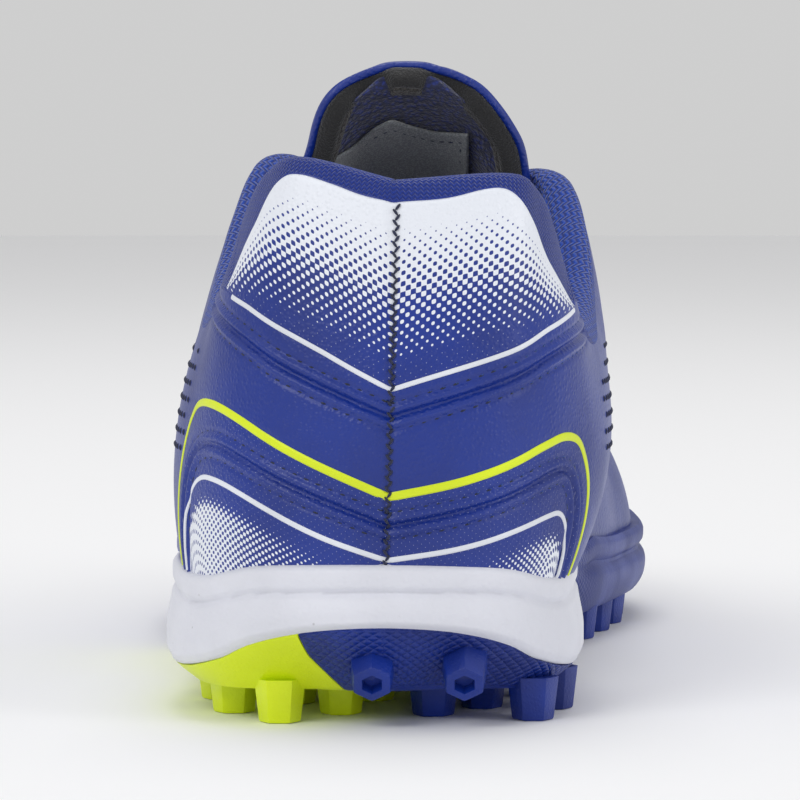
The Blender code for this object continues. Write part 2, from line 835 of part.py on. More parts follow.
def midsole_rings():
    """Rings of the foam wedge: rim, crease, bulge and the face that sits on the rubber."""

    def low(y):
        return min(sole_wall_top(y), bed(y) + 0.74 * RIM_HEIGHT * (1 - ease(0.49, 0.54, y / LENGTH)))

    def receding(heel_inset, hidden_inset):
        def inset(along):
            y = on_outline(along).y
            behind = blend(heel_inset, hidden_inset, ease(0.44, 0.49, y / LENGTH))
            return blend(behind, hidden_inset + 0.6 * MM, ease(0.49, 0.54, y / LENGTH))

        return inset

    def height(share):
        def at(y):
            return blend(low(y) + SLACK, rim_top(y), share)

        return at

    def crease(y):
        span = rim_top(y) - low(y) - SLACK
        return rim_top(y) - min(5.2 * MM, 0.5 * span)

    def below_crease(y):
        return crease(y) - 0.06 * (rim_top(y) - low(y))

    def ring(inset, at):
        return [lifted(along, inset(along), at) for along in RING]

    return [
        ring(receding(2.6 * MM, 3.1 * MM), rim_top),
        ring(receding(1.2 * MM, 3.05 * MM), crease),
        ring(receding(1.8 * MM, 3.05 * MM), below_crease),
        ring(receding(0.0, 3.0 * MM), height(0.26)),
        ring(receding(0.8 * MM, 3.0 * MM), height(0)),
        ring(
            lambda a: ledge(a) + SLACK + 0.1 * MM * cup_share(on_outline(a).y),
            lambda y: low(y) + 0.95 * SLACK,
        ),
        ring(
            lambda a: undercut(a) + LEDGE_SLOPE + SLACK + 0.1 * MM,
            lambda y: plate_top(y) + SLACK,
        ),
    ]


def build_midsole(last):
    midsole = add_solid("midsole", *loft(midsole_rings()), finish=FOAM_WHITE)
    rubber = add_solid("rubber with gap", *loft(outsole_rings(GAP * 0.9)), cutter=True)
    cut(midsole, last, "DIFFERENCE")
    cut(midsole, rubber, "DIFFERENCE")
    settle(midsole)


def build_insole():
    inset = feather(0) + HEEL_WALL + SLACK
    rings = []
    for height, shrink in ((bed_over(INSOLE + GAP), 1.4 * MM), (bed_over(INSOLE * 0.6), 0.0)):
        rings.append([lifted(along, inset + shrink, height) for along in RING])
    rings.append([lifted(along, inset, bed_over(GAP)) for along in RING])
    add_solid("insole", *loft(rings), finish=KNIT_NAVY)


def bed_over(rise):
    return lambda y: bed(y) + rise


def shared(along, row, last_row):
    """The station whose point stands for this one where both halves meet on the ridge."""
    if row == last_row and abs(along) >= THROAT:
        return abs(along)
    return along


def build_upper():
    """The upper: outer face, padded rolled edge, inner face and the face on the footbed."""
    upper = Skin()
    last_row = len(UP_ROWS) - 1
    for along in RING:
        for row, up in enumerate(UP_ROWS):
            place = shared(along, row, last_row)
            upper.point(("out", place, row), shell(place, up, 0))
            inner = shell(place, up, -wall(place, up))
            if row == 0:
                inner.z = bed(inner.y) + GAP
            upper.point(("in", place, row), inner)
    size = len(RING)
    for j, along in enumerate(RING):
        after = RING[(j + 1) % size]
        for row in range(last_row):
            corners = []
            for a, r in ((along, row), (after, row), (after, row + 1), (along, row + 1)):
                corners.append((shared(a, r, last_row), r))
            upper.face(*[("out", *corner) for corner in corners])
            upper.face(*[("in", *corner) for corner in reversed(corners)])
        upper.face(("in", along, 0), ("in", after, 0), ("out", after, 0), ("out", along, 0))
    roll_edge(upper, last_row)
    solid = add_solid("upper", upper.points, upper.faces, finish=ROYAL)
    return solid


def throat_loop():
    """Stations of the top edge: the medial side forwards, then the lateral side back."""
    medial = between(0, THROAT)
    lateral = [-u for u in reversed(medial[1:-1])]
    return medial + lateral


def between(low, high):
    return [u for u in STATIONS if low - STEP <= u <= high + STEP]


def roll_edge(upper, last_row):
    loop = throat_loop()
    size = len(loop)
    for j, along in enumerate(loop):
        run = skin(loop[(j + 1) % size], 1) - skin(loop[j - 1], 1)
        normal = skin_normal(along, 1)
        upward = normal.cross(run).normalized()
        thickness = wall(along, 1)
        for k, roll in enumerate(ROLL):
            place = skin(along, 1) - normal * thickness * roll.inward
            upper.point(("roll", along, k), place + upward * thickness * roll.upward)
    for j, along in enumerate(loop):
        after = loop[(j + 1) % size]
        names = [("out", last_row)] + [("roll", k) for k in range(len(ROLL))] + [("in", last_row)]
        for low, high in zip(names, names[1:]):
            upper.face(
                (low[0], along, low[1]),
                (low[0], after, low[1]),
                (high[0], after, high[1]),
                (high[0], along, high[1]),
            )


def patch(name, stations, low_up, high_up, rows, finish):
    """An overlay over the stations given, between two heights, closed round its edges."""
    made = Skin()
    for along in stations:
        for row in range(rows + 1):
            up = blend(low_up(along), high_up(along), row / rows)
            made.point(("out", along, row), shell(along, up, OVERLAY_GAP + OVERLAY))
            made.point(("in", along, row), shell(along, up, OVERLAY_GAP))
    for along, after in zip(stations, stations[1:]):
        for row in range(rows):
            corners = ((along, row), (after, row), (after, row + 1), (along, row + 1))
            made.face(*[("out", *corner) for corner in corners])
            made.face(*[("in", *corner) for corner in reversed(corners)])
    close_edges(made)
    return add_solid(name, made.points, made.faces, finish=finish)


def close_edges(made):
    """Bridge the outer sheet to the inner one along every edge that only one face uses."""
    partner = {}
    for key, number in made.numbers.items():
        if key[0] == "out":
            partner[number] = made.numbers[("in", *key[1:])]
    used = {}
    for face in made.faces:
        for a, b in zip(face, face[1:] + face[:1]):
            used[(a, b)] = True
    for a, b in list(used):
        if a in partner and b in partner and (b, a) not in used:
            made.faces.append((b, a, partner[a], partner[b]))


def around_heel(reach):
    """Stations from the lateral side, round the heel, to the medial side."""
    medial = between(0, reach)
    return [-u for u in reversed(medial[1:])] + medial


def band_height(table, along):
    side = "lateral" if along < 0 else "medial"
    return through(table, side, abs(along)) * HEEL_HEIGHT


def build_heel_overlays():
    """The tab that carries the print, and the counter just above the sole."""

    def tab_low(along):
        return up_at_height(along, band_height(TAB_EDGE, along))

    def tab_high(along):
        return up_at_height(along, skin(along, 1).z - TAB_BINDING)

    patch("heel_tab", around_heel(0.13), tab_low, tab_high, 5, ROYAL)

    def counter_low(along):
        edge = skin(along, 0.2).y
        return up_at_height(along, rim_top(edge) + 3 * GAP)

    def counter_high(along):
        return up_at_height(along, band_height(COUNTER_EDGE, along))

    patch("heel_counter", around_heel(0.195), counter_low, counter_high, 3, ROYAL)


def distance_down(along, reach):
    """The share of the way up at a distance below the top edge, measured over the surface."""
    steps = 200
    run = 0.0
    before = skin(along, 1)
    for k in range(1, steps):
        here = skin(along, 1 - k / steps)
        run += (here - before).length
        before = here
        if run >= reach:
            return 1 - k / steps
    return 0.0


def eyelet_stations():
    first = 0.44
    last = 0.595
    return [blend(first, last, k / (EYELET_PAIRS - 1)) for k in range(EYELET_PAIRS)]


def eyelet_up(along):
    return distance_down(along, EYESTAY_BAND * 0.45)


def build_eyestay(upper):
    """The U-shaped overlay round the throat, with holes for the lace through it and the upper."""
    near = 1 - 0.3 * MM / (HEEL_HEIGHT * 0.5)

    def low_up(along):
        past = max((abs(along) - THROAT) / (EYESTAY_FRONT - THROAT), 0)
        return distance_down(along, EYESTAY_BAND * math.sqrt(1 - 0.9 * past**2))

    made = Skin()
    rows = 3

    def key(layer, along, row):
        return (layer, shared(along, row, rows), row)

    medial = between(EYESTAY_BACK, EYESTAY_FRONT)
    lateral = [-u for u in reversed(medial)]
    for along in medial + lateral:
        for row in range(rows + 1):
            ridge = abs(along) >= THROAT
            place = shared(along, row, rows)
            up = blend(low_up(along), 1.0 if ridge else near, row / rows)
            made.point(key("out", along, row), shell(place, up, OVERLAY_GAP + OVERLAY))
            made.point(key("in", along, row), shell(place, up, OVERLAY_GAP))
    for line in (medial, lateral):
        for along, after in zip(line, line[1:]):
            for row in range(rows):
                corners = ((along, row), (after, row), (after, row + 1), (along, row + 1))
                made.face(*[key("out", *corner) for corner in corners])
                made.face(*[key("in", *corner) for corner in reversed(corners)])
    close_edges(made)
    eyestay = add_solid("eyestay", made.points, made.faces, finish=ROYAL)
    for u in eyelet_stations():
        for side in (-1, 1):
            hole = eyelet_cutter(side * u)
            cut(eyestay, hole, "DIFFERENCE")
            cut(upper, hole, "DIFFERENCE")


def eyelet_cutter(along):
    up = eyelet_up(along)
    normal = skin_normal(along, up)
    bpy.ops.mesh.primitive_cylinder_add(
        vertices=8, radius=EYELET_WIDTH / 2, depth=6 * (VAMP_WALL + OVERLAY)
    )
    hole = bpy.context.active_object
    hole.name = f"eyelet {along:.3f}"
    hole.rotation_euler = Vector((0, 0, 1)).rotation_difference(normal).to_euler()
    hole.location = skin(along, up)
    for holder in hole.users_collection:
        holder.objects.unlink(hole)
    CUTTERS.objects.link(hole)
    hole.hide_render = True
    hole.display_type = "WIRE"
    return hole


def tongue_bridge(u, share):
    """A point of the tongue's outer face between its wings, with its middle puffed up."""
    last = TONGUE_WING_ROWS[-1]
    before = TONGUE_WING_ROWS[-2]
    ends = []
    for along in (-u, u):
        depth = wall(along, 1) + TONGUE_GAP
        edge = shell(along, last, -depth)
        ends.append((edge, (edge - shell(along, before, -depth)).normalized()))
    (left, leave), (right, arrive) = ends
    span = (right - left).length
    point = hermite(left, right, leave * span, -arrive * span, share)
    lift = (1 - ease(THROAT - 0.10, THROAT - 0.02, u)) * TONGUE_PUFF
    forward = Vector((0, 0.55, 0.83))
    return point + forward * lift * math.sin(math.pi * share)


def tongue_sections():
    """Rows of points over the tongue's outer face, from under the vamp to its free end."""
    sections = []
    for u in reversed(between(TONGUE_BACK, TONGUE_FRONT)):
        wing = [shell(-u, up, -(wall(-u, up) + TONGUE_GAP)) for up in TONGUE_WING_ROWS]
        bridge = [
            tongue_bridge(u, k / (TONGUE_BRIDGE + 1)) for k in range(1, TONGUE_BRIDGE + 1)
        ]
        other = [shell(u, up, -(wall(u, up) + TONGUE_GAP)) for up in reversed(TONGUE_WING_ROWS)]
        sections.append(wing + bridge + other)
    count = len(sections[0])
    for row in TONGUE_END:
        section = []
        for k in range(count):
            q = 2 * k / (count - 1) - 1
            width = row.half_width * HEEL_WIDTH
            wrapped = TONGUE_WRAP * (row.half_width / TONGUE_END[0].half_width) ** 2
            x = row.centre_x * HEEL_WIDTH + width * math.sin(q * math.pi / 2 * 0.8) / math.sin(
                math.pi / 2 * 0.8
            )
            z = blend(row.middle_z, row.edge_z, q * q) * TONGUE_HEIGHT
            section.append(Vector((x, row.y * LENGTH - wrapped * q * q, z)))
        sections.append(section)
    return sections


def build_tongue():
    outer = tongue_sections()
    rows = len(outer)
    count = len(outer[0])
    inner = []
    free = len(TONGUE_END)
    for i in range(rows):
        line = []
        thickness = blend(TONGUE_WALL, TONGUE_TIP_WALL, ease(rows - free - 3, rows - 2, i))
        if i == rows - 1:
            thickness = TONGUE_WALL
        for k in range(count):
            run = outer[i][min(k + 1, count - 1)] - outer[i][max(k - 1, 0)]
            back = outer[min(i + 1, rows - 1)][k] - outer[max(i - 1, 0)][k]
            line.append(outer[i][k] + run.cross(back).normalized() * thickness)
        inner.append(line)
    made = Skin()
    for i in range(rows):
        for k in range(count):
            made.point(("out", i, k), outer[i][k])
            made.point(("in", i, k), inner[i][k])
    for i in range(rows - 1):
        for k in range(count - 1):
            corners = ((i, k), (i + 1, k), (i + 1, k + 1), (i, k + 1))
            made.face(*[("out", *corner) for corner in corners])
            made.face(*[("in", *corner) for corner in reversed(corners)])
    close_edges(made)
    add_solid("tongue", made.points, made.faces, finish=KNIT_NAVY)


def lace_path(start, end, lift):
    """Points and normals of one run of lace between two eyelets, over the tongue."""
    ends = []
    for along in (start, end):
        up = eyelet_up(along)
        normal = skin_normal(along, up)
        place = skin(along, up) + normal * (OVERLAY_GAP + OVERLAY + LACE_REST + LACE_THICKNESS / 2 + lift)
        climb = (skin(along, up + 0.02) - skin(along, up - 0.02)).normalized()
        ends.append((place, climb, normal))
    (left, leave, left_up), (right, arrive, right_up) = ends
    span = (right - left).length
    pull = 1.15 * span
    path = []
    steps = 5
    for k in range(steps + 1):
        share = k / steps
        point = hermite(left, right, leave * pull, -arrive * pull, share)
        path.append((point, left_up.lerp(right_up, share).normalized()))
    return path


def lace_run(name, start, end, lift):
    """One flat run of lace, rectangular in section."""
    path = lace_path(start, end, lift)
    points = []
    for k, (point, upward) in enumerate(path):
        run = path[min(k + 1, len(path) - 1)][0] - path[max(k - 1, 0)][0]
        if k == 0 or k == len(path) - 1:
            point = point - run.normalized() * math.copysign(LACE_WIDTH * 0.4, len(path) / 2 - k)
        across = run.cross(upward).normalized()
        normal = across.cross(run).normalized()
        half = LACE_THICKNESS / 2
        for wide, high in ((-1, -1), (1, -1), (1, 1), (-1, 1)):
            points.append(point + across * wide * LACE_WIDTH / 2 + normal * high * half)
    faces = [(0, 3, 2, 1)]
    for k in range(len(path) - 1):
        for i in range(4):
            j = (i + 1) % 4
            faces.append((4 * k + i, 4 * k + j, 4 * k + 4 + j, 4 * k + 4 + i))
    end_corner = 4 * (len(path) - 1)
    faces.append((end_corner, end_corner + 1, end_corner + 2, end_corner + 3))
    return points, faces


def build_lace():
    """The lace: a bar over the lowest pair of eyelets and a crossing above each pair."""
    stations = list(reversed(eyelet_stations()))
    runs = []
    for lower, upper in zip(stations, stations[1:]):
        runs.append((-lower, upper, 0.0))
        runs.append((lower, -upper, 0.45 * MM))
    lace = add_solid("lace", *lace_run("bar", -stations[0], stations[0], 0.2 * MM), finish=LACE_BLUE)
    for number, (start, end, lift) in enumerate(runs):
        left, right = min(start, end), max(start, end)
        run = add_solid(f"lace run {number}", *lace_run("run", left, right, lift), cutter=True)
        cut(lace, run, "UNION")


def centre_on_floor():
    """Move every part so that the middle of the whole shoe's box stands over the origin."""
    bpy.context.view_layer.update()
    graph = bpy.context.evaluated_depsgraph_get()
    low = Vector((math.inf, math.inf, math.inf))
    high = -low
    for solid in PARTS.objects:
        shape = solid.evaluated_get(graph)
        for vertex in shape.data.vertices:
            place = shape.matrix_world @ vertex.co
            low = Vector(map(min, low, place))
            high = Vector(map(max, high, place))
    shift = Vector((-(low.x + high.x) / 2, -(low.y + high.y) / 2, -low.z))
    for solid in list(PARTS.objects) + list(CUTTERS.objects):
        solid.location += shift
    return shift


for old in list(bpy.data.objects):
    bpy.data.objects.remove(old)
PARTS = collection("turf_shoe")
CUTTERS = collection("cutters")

build_sole()
build_insole()
shoe_upper = build_upper()
build_heel_overlays()
build_eyestay(shoe_upper)
build_tongue()
build_lace()
print("moved to the origin by", centre_on_floor())
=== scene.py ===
# %% [markdown]
# # A left turf shoe, seen from behind
#
# A turf shoe is a leather bag pulled over a foam wedge and glued into a studded rubber cup. The packed
# solids say where each of those pieces is. This lesson dresses them: every surface is rebuilt from the
# same curves at a finer step, and then gets its seams, prints, knit and grain.
#
# The first cell loads the imported frame. The dressed shoe has to stay in the frame's box.

import math
from collections import namedtuple

import bmesh
import bpy
import numpy as np
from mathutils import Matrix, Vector


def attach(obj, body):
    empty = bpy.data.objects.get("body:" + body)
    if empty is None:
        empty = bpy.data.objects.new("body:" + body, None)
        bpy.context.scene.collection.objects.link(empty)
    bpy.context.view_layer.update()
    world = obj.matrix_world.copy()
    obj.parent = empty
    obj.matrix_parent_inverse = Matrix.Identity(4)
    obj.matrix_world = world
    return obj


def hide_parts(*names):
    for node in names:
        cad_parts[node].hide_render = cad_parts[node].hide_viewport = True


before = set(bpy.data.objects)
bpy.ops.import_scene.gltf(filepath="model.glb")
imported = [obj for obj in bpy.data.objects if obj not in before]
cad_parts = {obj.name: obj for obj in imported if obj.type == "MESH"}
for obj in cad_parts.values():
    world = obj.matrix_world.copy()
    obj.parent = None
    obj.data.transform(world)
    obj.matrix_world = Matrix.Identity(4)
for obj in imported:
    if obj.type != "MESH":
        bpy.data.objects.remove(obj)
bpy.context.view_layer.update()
print("nodes", sorted(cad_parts))

# %% [markdown]
# ## Where the camera stands
#
# The shoe was photographed from behind, from a little above the collar, with a long lens. The camera
# comes first, so that every later piece can be judged in the picture's own framing.

# %% Camera
CAMERA_PLACE = Vector((0.0047, -1.0444, 0.1150))
CAMERA_AIM = Vector((-0.0068, 1.0013, -0.0611))
CAMERA_LENS = 227.3

camera = bpy.data.objects.new("camera", bpy.data.cameras.new("camera"))
bpy.context.scene.collection.objects.link(camera)
camera.location = CAMERA_PLACE
camera.rotation_euler = CAMERA_AIM.to_track_quat("-Z", "Y").to_euler()
camera.data.lens = CAMERA_LENS
camera.data.clip_end = 20
bpy.context.scene.camera = camera
print("camera at", tuple(round(c, 4) for c in camera.location))

# %% [markdown]
# ## The shoe's own sizes
#
# A shoemaker works from a last and a few tables. These are the sizes and curves that shaped the solids,
# in millimetres from the back of the heel. Using them again keeps the dressed pieces where the solids
# are, without any fitting by eye.

# %% Sizes in millimetres
# Driving sizes of the sole
LENGTH = 286
HEEL_WIDTH = 78
WAIST_WIDTH = 77
BALL_WIDTH = 102
TOE_TIP_ACROSS = 9.5
STUD_HEIGHT = 6
STUD_WIDTH = 8.1
STUD_ROOT = 1.6
PLATE = 2.6
HEEL_STACK = 15.5
BALL_STACK = 6
TOE_SPRING = 11
ARCH_RISE = 3
RIM_HEIGHT = 7
CUP_HEIGHT = 8.5
CUP_WALL = 3.2
HEEL_LEDGE = 4.2
LEDGE_SLOPE = 2
HEEL_BEVEL = 8
HEEL_UNDERCUT = 5
FORE_UNDERCUT = 3

# Driving sizes of the upper and what lies in it
HEEL_HEIGHT = 99
TONGUE_HEIGHT = 120.6
HEEL_FEATHER = 4.8
FORE_FEATHER = 3.3
HEEL_WALL = 3
VAMP_WALL = 2.2
COLLAR_PAD = 9
OVERLAY = 1
EYESTAY_BAND = 15
EYESTAY_BACK = 0.42
EYESTAY_FRONT = 0.70
EYELET_PAIRS = 6
INSOLE = 4
TONGUE_WALL = 4
TONGUE_TIP_WALL = 5.5
TONGUE_PUFF = 2.6
LACE_WIDTH = 6
LACE_THICKNESS = 1.3
LACE_REST = 0.8

# Clearances between neighbours
GAP = 0.3
SLACK = 0.4
OVERLAY_GAP = 0.6
TONGUE_GAP = 0.8
# Stations along each side from heel seam to toe, close together where the outline turns, and the
# one where the throat closes
STATIONS = (
    *(0.000, 0.022, 0.046, 0.072, 0.100, 0.130, 0.160, 0.195, 0.235, 0.275, 0.310, 0.345, 0.380),
    *(0.420, 0.460, 0.500, 0.540, 0.575, 0.603, 0.625, 0.660, 0.700, 0.745, 0.790, 0.830, 0.865),
    *(0.900, 0.935, 0.970, 1.000),
)
THROAT = 0.625
STEP = 0.0005
OUTLINE_SAMPLES = 400

def rows_of(kind, *rows):
    """Rows with named columns."""
    return tuple(kind(*row) for row in rows)


# The sole's outline. `y` is a share of LENGTH, and the two sides are shares of the named width.
OutlineRow = namedtuple("OutlineRow", "y width lateral medial")
OUTLINE = rows_of(
    OutlineRow,
    (0.009, HEEL_WIDTH, 0.180, 0.167),
    (0.035, HEEL_WIDTH, 0.346, 0.320),
    (0.080, HEEL_WIDTH, 0.472, 0.431),
    (0.147, HEEL_WIDTH, 0.526, 0.474),
    (0.252, WAIST_WIDTH, 0.520, 0.474),
    (0.374, WAIST_WIDTH, 0.513, 0.471),
    (0.500, BALL_WIDTH, 0.417, 0.407),
    (0.620, BALL_WIDTH, 0.456, 0.490),
    (0.720, BALL_WIDTH, 0.454, 0.544),
    (0.805, BALL_WIDTH, 0.412, 0.534),
    (0.880, BALL_WIDTH, 0.324, 0.471),
    (0.940, BALL_WIDTH, 0.200, 0.368),
    (0.980, BALL_WIDTH, 0.093, 0.270),
)

# Where the blue heel wall meets the white foam: `y` of LENGTH, `z` of the stack above the plate.
PartingRow = namedtuple("PartingRow", "y z")
PARTING = rows_of(
    PartingRow,
    (0.000, 0.806),
    (0.010, 0.720),
    (0.031, 0.496),
    (0.049, 0.264),
    (0.087, 0.078),
    (0.160, 0.062),
    (0.250, 0.070),
)

# How the rim of the foam rises and falls round the heel: `z` is a share of RIM_HEIGHT.
RimRow = namedtuple("RimRow", "y z")
RIM = rows_of(
    RimRow,
    (0.000, 1.25),
    (0.028, 1.12),
    (0.070, 0.72),
    (0.140, 0.90),
    (0.220, 1.00),
    (0.500, 1.00),
)

# Top edge of the upper: `y` of LENGTH, the sides' `x` of HEEL_WIDTH, `z` of HEEL_HEIGHT.
EdgeRow = namedtuple("EdgeRow", "u y lateral_x lateral_z medial_x medial_z")
EDGE = rows_of(
    EdgeRow,
    (0.0000, 0.0315, 0.023, 0.985, 0.023, 0.985),
    (0.0500, 0.0520, -0.200, 1.025, 0.295, 0.995),
    (0.0850, 0.0730, -0.275, 1.000, 0.360, 0.965),
    (0.1100, 0.0980, -0.328, 0.925, 0.401, 0.888),
    (0.1400, 0.1400, -0.385, 0.765, 0.449, 0.732),
    (0.1900, 0.2030, -0.425, 0.738, 0.490, 0.708),
    (0.2400, 0.2660, -0.419, 0.800, 0.502, 0.770),
    (0.2900, 0.3220, -0.388, 0.905, 0.495, 0.880),
    (0.3350, 0.3710, -0.333, 1.010, 0.457, 0.975),
    (0.3750, 0.4100, -0.244, 1.020, 0.362, 0.992),
    (0.4250, 0.4500, -0.199, 0.965, 0.314, 0.945),
    (0.5000, 0.5240, -0.109, 0.823, 0.250, 0.823),
    (0.5750, 0.6120, -0.090, 0.692, 0.218, 0.692),
    (0.6000, 0.6500, -0.051, 0.666, 0.179, 0.666),
    (0.6250, 0.6640, 0.064, 0.657, 0.064, 0.657),
)

# Ridge of the vamp in front of the throat, with the same shares.
RidgeRow = namedtuple("RidgeRow", "u y x z")
RIDGE = rows_of(
    RidgeRow,
    (0.625, 0.664, 0.064, 0.657),
    (0.700, 0.717, 0.068, 0.611),
    (0.800, 0.783, 0.080, 0.566),
    (0.900, 0.843, 0.098, 0.530),
    (1.000, 0.874, 0.109, 0.505),
)

# Shape of a wall section between feather line and top edge: how far each of its two handles has gone
# across and up, and the outward swell of each side as a share of HEEL_WIDTH.
SectionRow = namedtuple("SectionRow", "u low_across low_up high_across high_up lateral medial")
SECTION = rows_of(
    SectionRow,
    (0.000, 0.33, 0.33, 0.67, 0.67, 0.041, 0.041),
    (0.100, 0.33, 0.33, 0.67, 0.67, 0.050, 0.060),
    (0.200, 0.33, 0.33, 0.67, 0.67, 0.056, 0.078),
    (0.300, 0.25, 0.36, 0.66, 0.72, 0.058, 0.080),
    (0.360, 0.10, 0.42, 0.60, 0.82, 0.051, 0.072),
    (0.450, 0.03, 0.48, 0.52, 0.88, 0.038, 0.055),
    (0.560, 0.00, 0.52, 0.48, 0.93, 0.026, 0.036),
    (0.625, 0.00, 0.55, 0.45, 1.00, 0.019, 0.026),
    (0.750, 0.00, 0.56, 0.44, 1.00, 0.013, 0.013),
    (0.900, 0.00, 0.60, 0.42, 0.92, 0.013, 0.013),
    (1.000, 0.00, 0.62, 0.42, 0.86, 0.006, 0.006),
)

# Thickness of the padding at the top edge as a share of COLLAR_PAD.
PadRow = namedtuple("PadRow", "u pad")
PADDING = rows_of(
    PadRow,
    (0.000, 0.62),
    (0.080, 0.78),
    (0.140, 1.00),
    (0.240, 1.00),
    (0.290, 0.90),
    (0.335, 0.64),
    (0.375, 0.40),
    (0.425, 0.28),
    (0.500, 0.24),
    (1.000, 0.24),
)

# Studs. Heel studs are listed one by one in shares of HEEL_WIDTH and LENGTH; fore studs stand in rows.
StudRow = namedtuple("StudRow", "x y")
REAR_STUDS = (StudRow(-0.027, 0.014), StudRow(0.187, 0.014))
REAR_STUD_AXIS = Vector((0, -0.866, -0.5))
REAR_STUD_LENGTH = 6.4
REAR_STUD_END = 8.3
HEEL_STUDS = rows_of(
    StudRow,
    *((-0.245, 0.059), (0.349, 0.073), (-0.360, 0.112), (-0.105, 0.103)),
    *((0.115, 0.095), (0.400, 0.133), (0.231, 0.136), (-0.220, 0.161)),
    *((-0.030, 0.178), (-0.400, 0.185), (0.150, 0.196), (0.365, 0.200)),
    *((-0.230, 0.230), (-0.400, 0.256), (-0.050, 0.250), (0.230, 0.262)),
    *((0.395, 0.276),),
)
ForeRow = namedtuple("ForeRow", "y count")
FORE_STUDS = rows_of(
    ForeRow,
    *((0.535, 4), (0.590, 5), (0.645, 6), (0.700, 6)),
    *((0.755, 6), (0.810, 6), (0.865, 5), (0.920, 3)),
)
FORE_STUD_MARGIN = 9

# Plan of the neon pod under the lateral heel: shares of HEEL_WIDTH and LENGTH.
POD = rows_of(
    StudRow,
    *((-0.218, -0.030), (-0.218, 0.007), (-0.176, 0.028), (-0.109, 0.045)),
    *((-0.046, 0.060), (0.020, 0.105), (0.070, 0.175), (0.100, 0.240)),
    *((0.150, 0.332), (0.150, 0.378), (0.080, 0.427), (-0.080, 0.462)),
    *((-0.280, 0.483), (-0.750, 0.490), (-0.750, -0.030)),
)

# Free end of the tongue above the throat: shares of HEEL_WIDTH, LENGTH and TONGUE_HEIGHT.
TongueRow = namedtuple("TongueRow", "y middle_z edge_z centre_x half_width")
TONGUE_END = rows_of(
    TongueRow,
    (0.395, 0.930, 0.850, 0.069, 0.277),
    (0.378, 0.958, 0.900, 0.062, 0.250),
    (0.367, 0.978, 0.938, 0.053, 0.217),
    (0.361, 0.990, 0.967, 0.052, 0.174),
    (0.3575, 0.997, 0.987, 0.051, 0.110),
    (0.356, 0.9995, 0.998, 0.046, 0.052),
)
TONGUE_WRAP = 8
TONGUE_FRONT = 0.70
TONGUE_BACK = 0.38
TONGUE_WING_ROWS = (0.78, 0.90, 0.97)
TONGUE_BRIDGE = 5
# %% Curves through the tables
def through(table, column, x, key="u"):
    """A smooth curve through one column of a table, flat beyond its ends."""
    knots = [getattr(row, key) for row in table]
    values = [getattr(row, column) for row in table]
    if x <= knots[0]:
        return values[0]
    if x >= knots[-1]:
        return values[-1]
    i = max(k for k in range(len(knots) - 1) if knots[k] <= x)
    span = knots[i + 1] - knots[i]

    def slope(k):
        before = max(k - 1, 0)
        after = min(k + 1, len(knots) - 1)
        return (values[after] - values[before]) / (knots[after] - knots[before])

    s = (x - knots[i]) / span
    return hermite(values[i], values[i + 1], slope(i) * span, slope(i + 1) * span, s)


def hermite(start, end, leave, arrive, s):
    return (
        start * (2 * s**3 - 3 * s**2 + 1)
        + leave * (s**3 - 2 * s**2 + s)
        + end * (3 * s**2 - 2 * s**3)
        + arrive * (s**3 - s**2)
    )


def blend(low, high, s):
    return low + (high - low) * s


def ease(low, high, x):
    s = min(max((x - low) / (high - low), 0.0), 1.0)
    return s * s * (3 - 2 * s)


def outline_knots():
    """The outline's own points, counter-clockwise from the heel seam."""
    medial = [Vector((row.medial * row.width, row.y * LENGTH)) for row in OUTLINE]
    lateral = [Vector((-row.lateral * row.width, row.y * LENGTH)) for row in reversed(OUTLINE)]
    return [Vector((0, 0))] + medial + [Vector((TOE_TIP_ACROSS, LENGTH))] + lateral


def outline_sides():
    """Evenly spaced points from heel to toe along each side of a closed curve through the knots."""
    knots = outline_knots()
    count = len(knots)
    chord = [(knots[(i + 1) % count] - knots[i]).length for i in range(count)]
    tangent = []
    for i in range(count):
        arriving = (knots[i] - knots[i - 1]) / chord[i - 1]
        leaving = (knots[(i + 1) % count] - knots[i]) / chord[i]
        share = chord[i - 1] / (chord[i - 1] + chord[i])
        tangent.append(arriving.lerp(leaving, share))
    fine = 24
    dense = []
    for i in range(count):
        j = (i + 1) % count
        for k in range(fine):
            dense.append(
                hermite(knots[i], knots[j], tangent[i] * chord[i], tangent[j] * chord[i], k / fine)
            )
    toe = (len(OUTLINE) + 1) * fine
    medial = dense[: toe + 1]
    lateral = [dense[0]] + dense[: toe - 1 : -1]
    return {1: even(medial), -1: even(lateral)}


def even(points):
    """The same line with OUTLINE_SAMPLES steps of equal length."""
    run = [0.0]
    for before, after in zip(points, points[1:]):
        run.append(run[-1] + (after - before).length)
    out = []
    i = 0
    for k in range(OUTLINE_SAMPLES + 1):
        target = run[-1] * k / OUTLINE_SAMPLES
        while i < len(run) - 2 and run[i + 1] < target:
            i += 1
        out.append(points[i].lerp(points[i + 1], (target - run[i]) / (run[i + 1] - run[i])))
    return out


SIDES = outline_sides()


def wrap(along):
    if along > 1:
        return along - 2
    if along < -1:
        return along + 2
    return along


def on_outline(along):
    along = wrap(along)
    side = SIDES[1] if along >= 0 else SIDES[-1]
    place = abs(along) * OUTLINE_SAMPLES
    i = min(int(place), OUTLINE_SAMPLES - 1)
    return side[i].lerp(side[i + 1], place - i)


def outline_normal(along):
    reach = 3 / OUTLINE_SAMPLES
    run = on_outline(along + reach) - on_outline(along - reach)
    return Vector((run.y, -run.x)).normalized()


def plan(along, inset):
    """A point of the outline moved inwards."""
    return on_outline(along) - outline_normal(along) * inset


def spring(y):
    return TOE_SPRING * max((y / LENGTH - 0.74) / 0.26, 0.0) ** 1.8


def plate_bottom(y):
    arch = ease(0.30, 0.38, y / LENGTH) * (1 - ease(0.44, 0.52, y / LENGTH))
    return STUD_HEIGHT + spring(y) + ARCH_RISE * arch


def plate_top(y):
    return plate_bottom(y) + PLATE


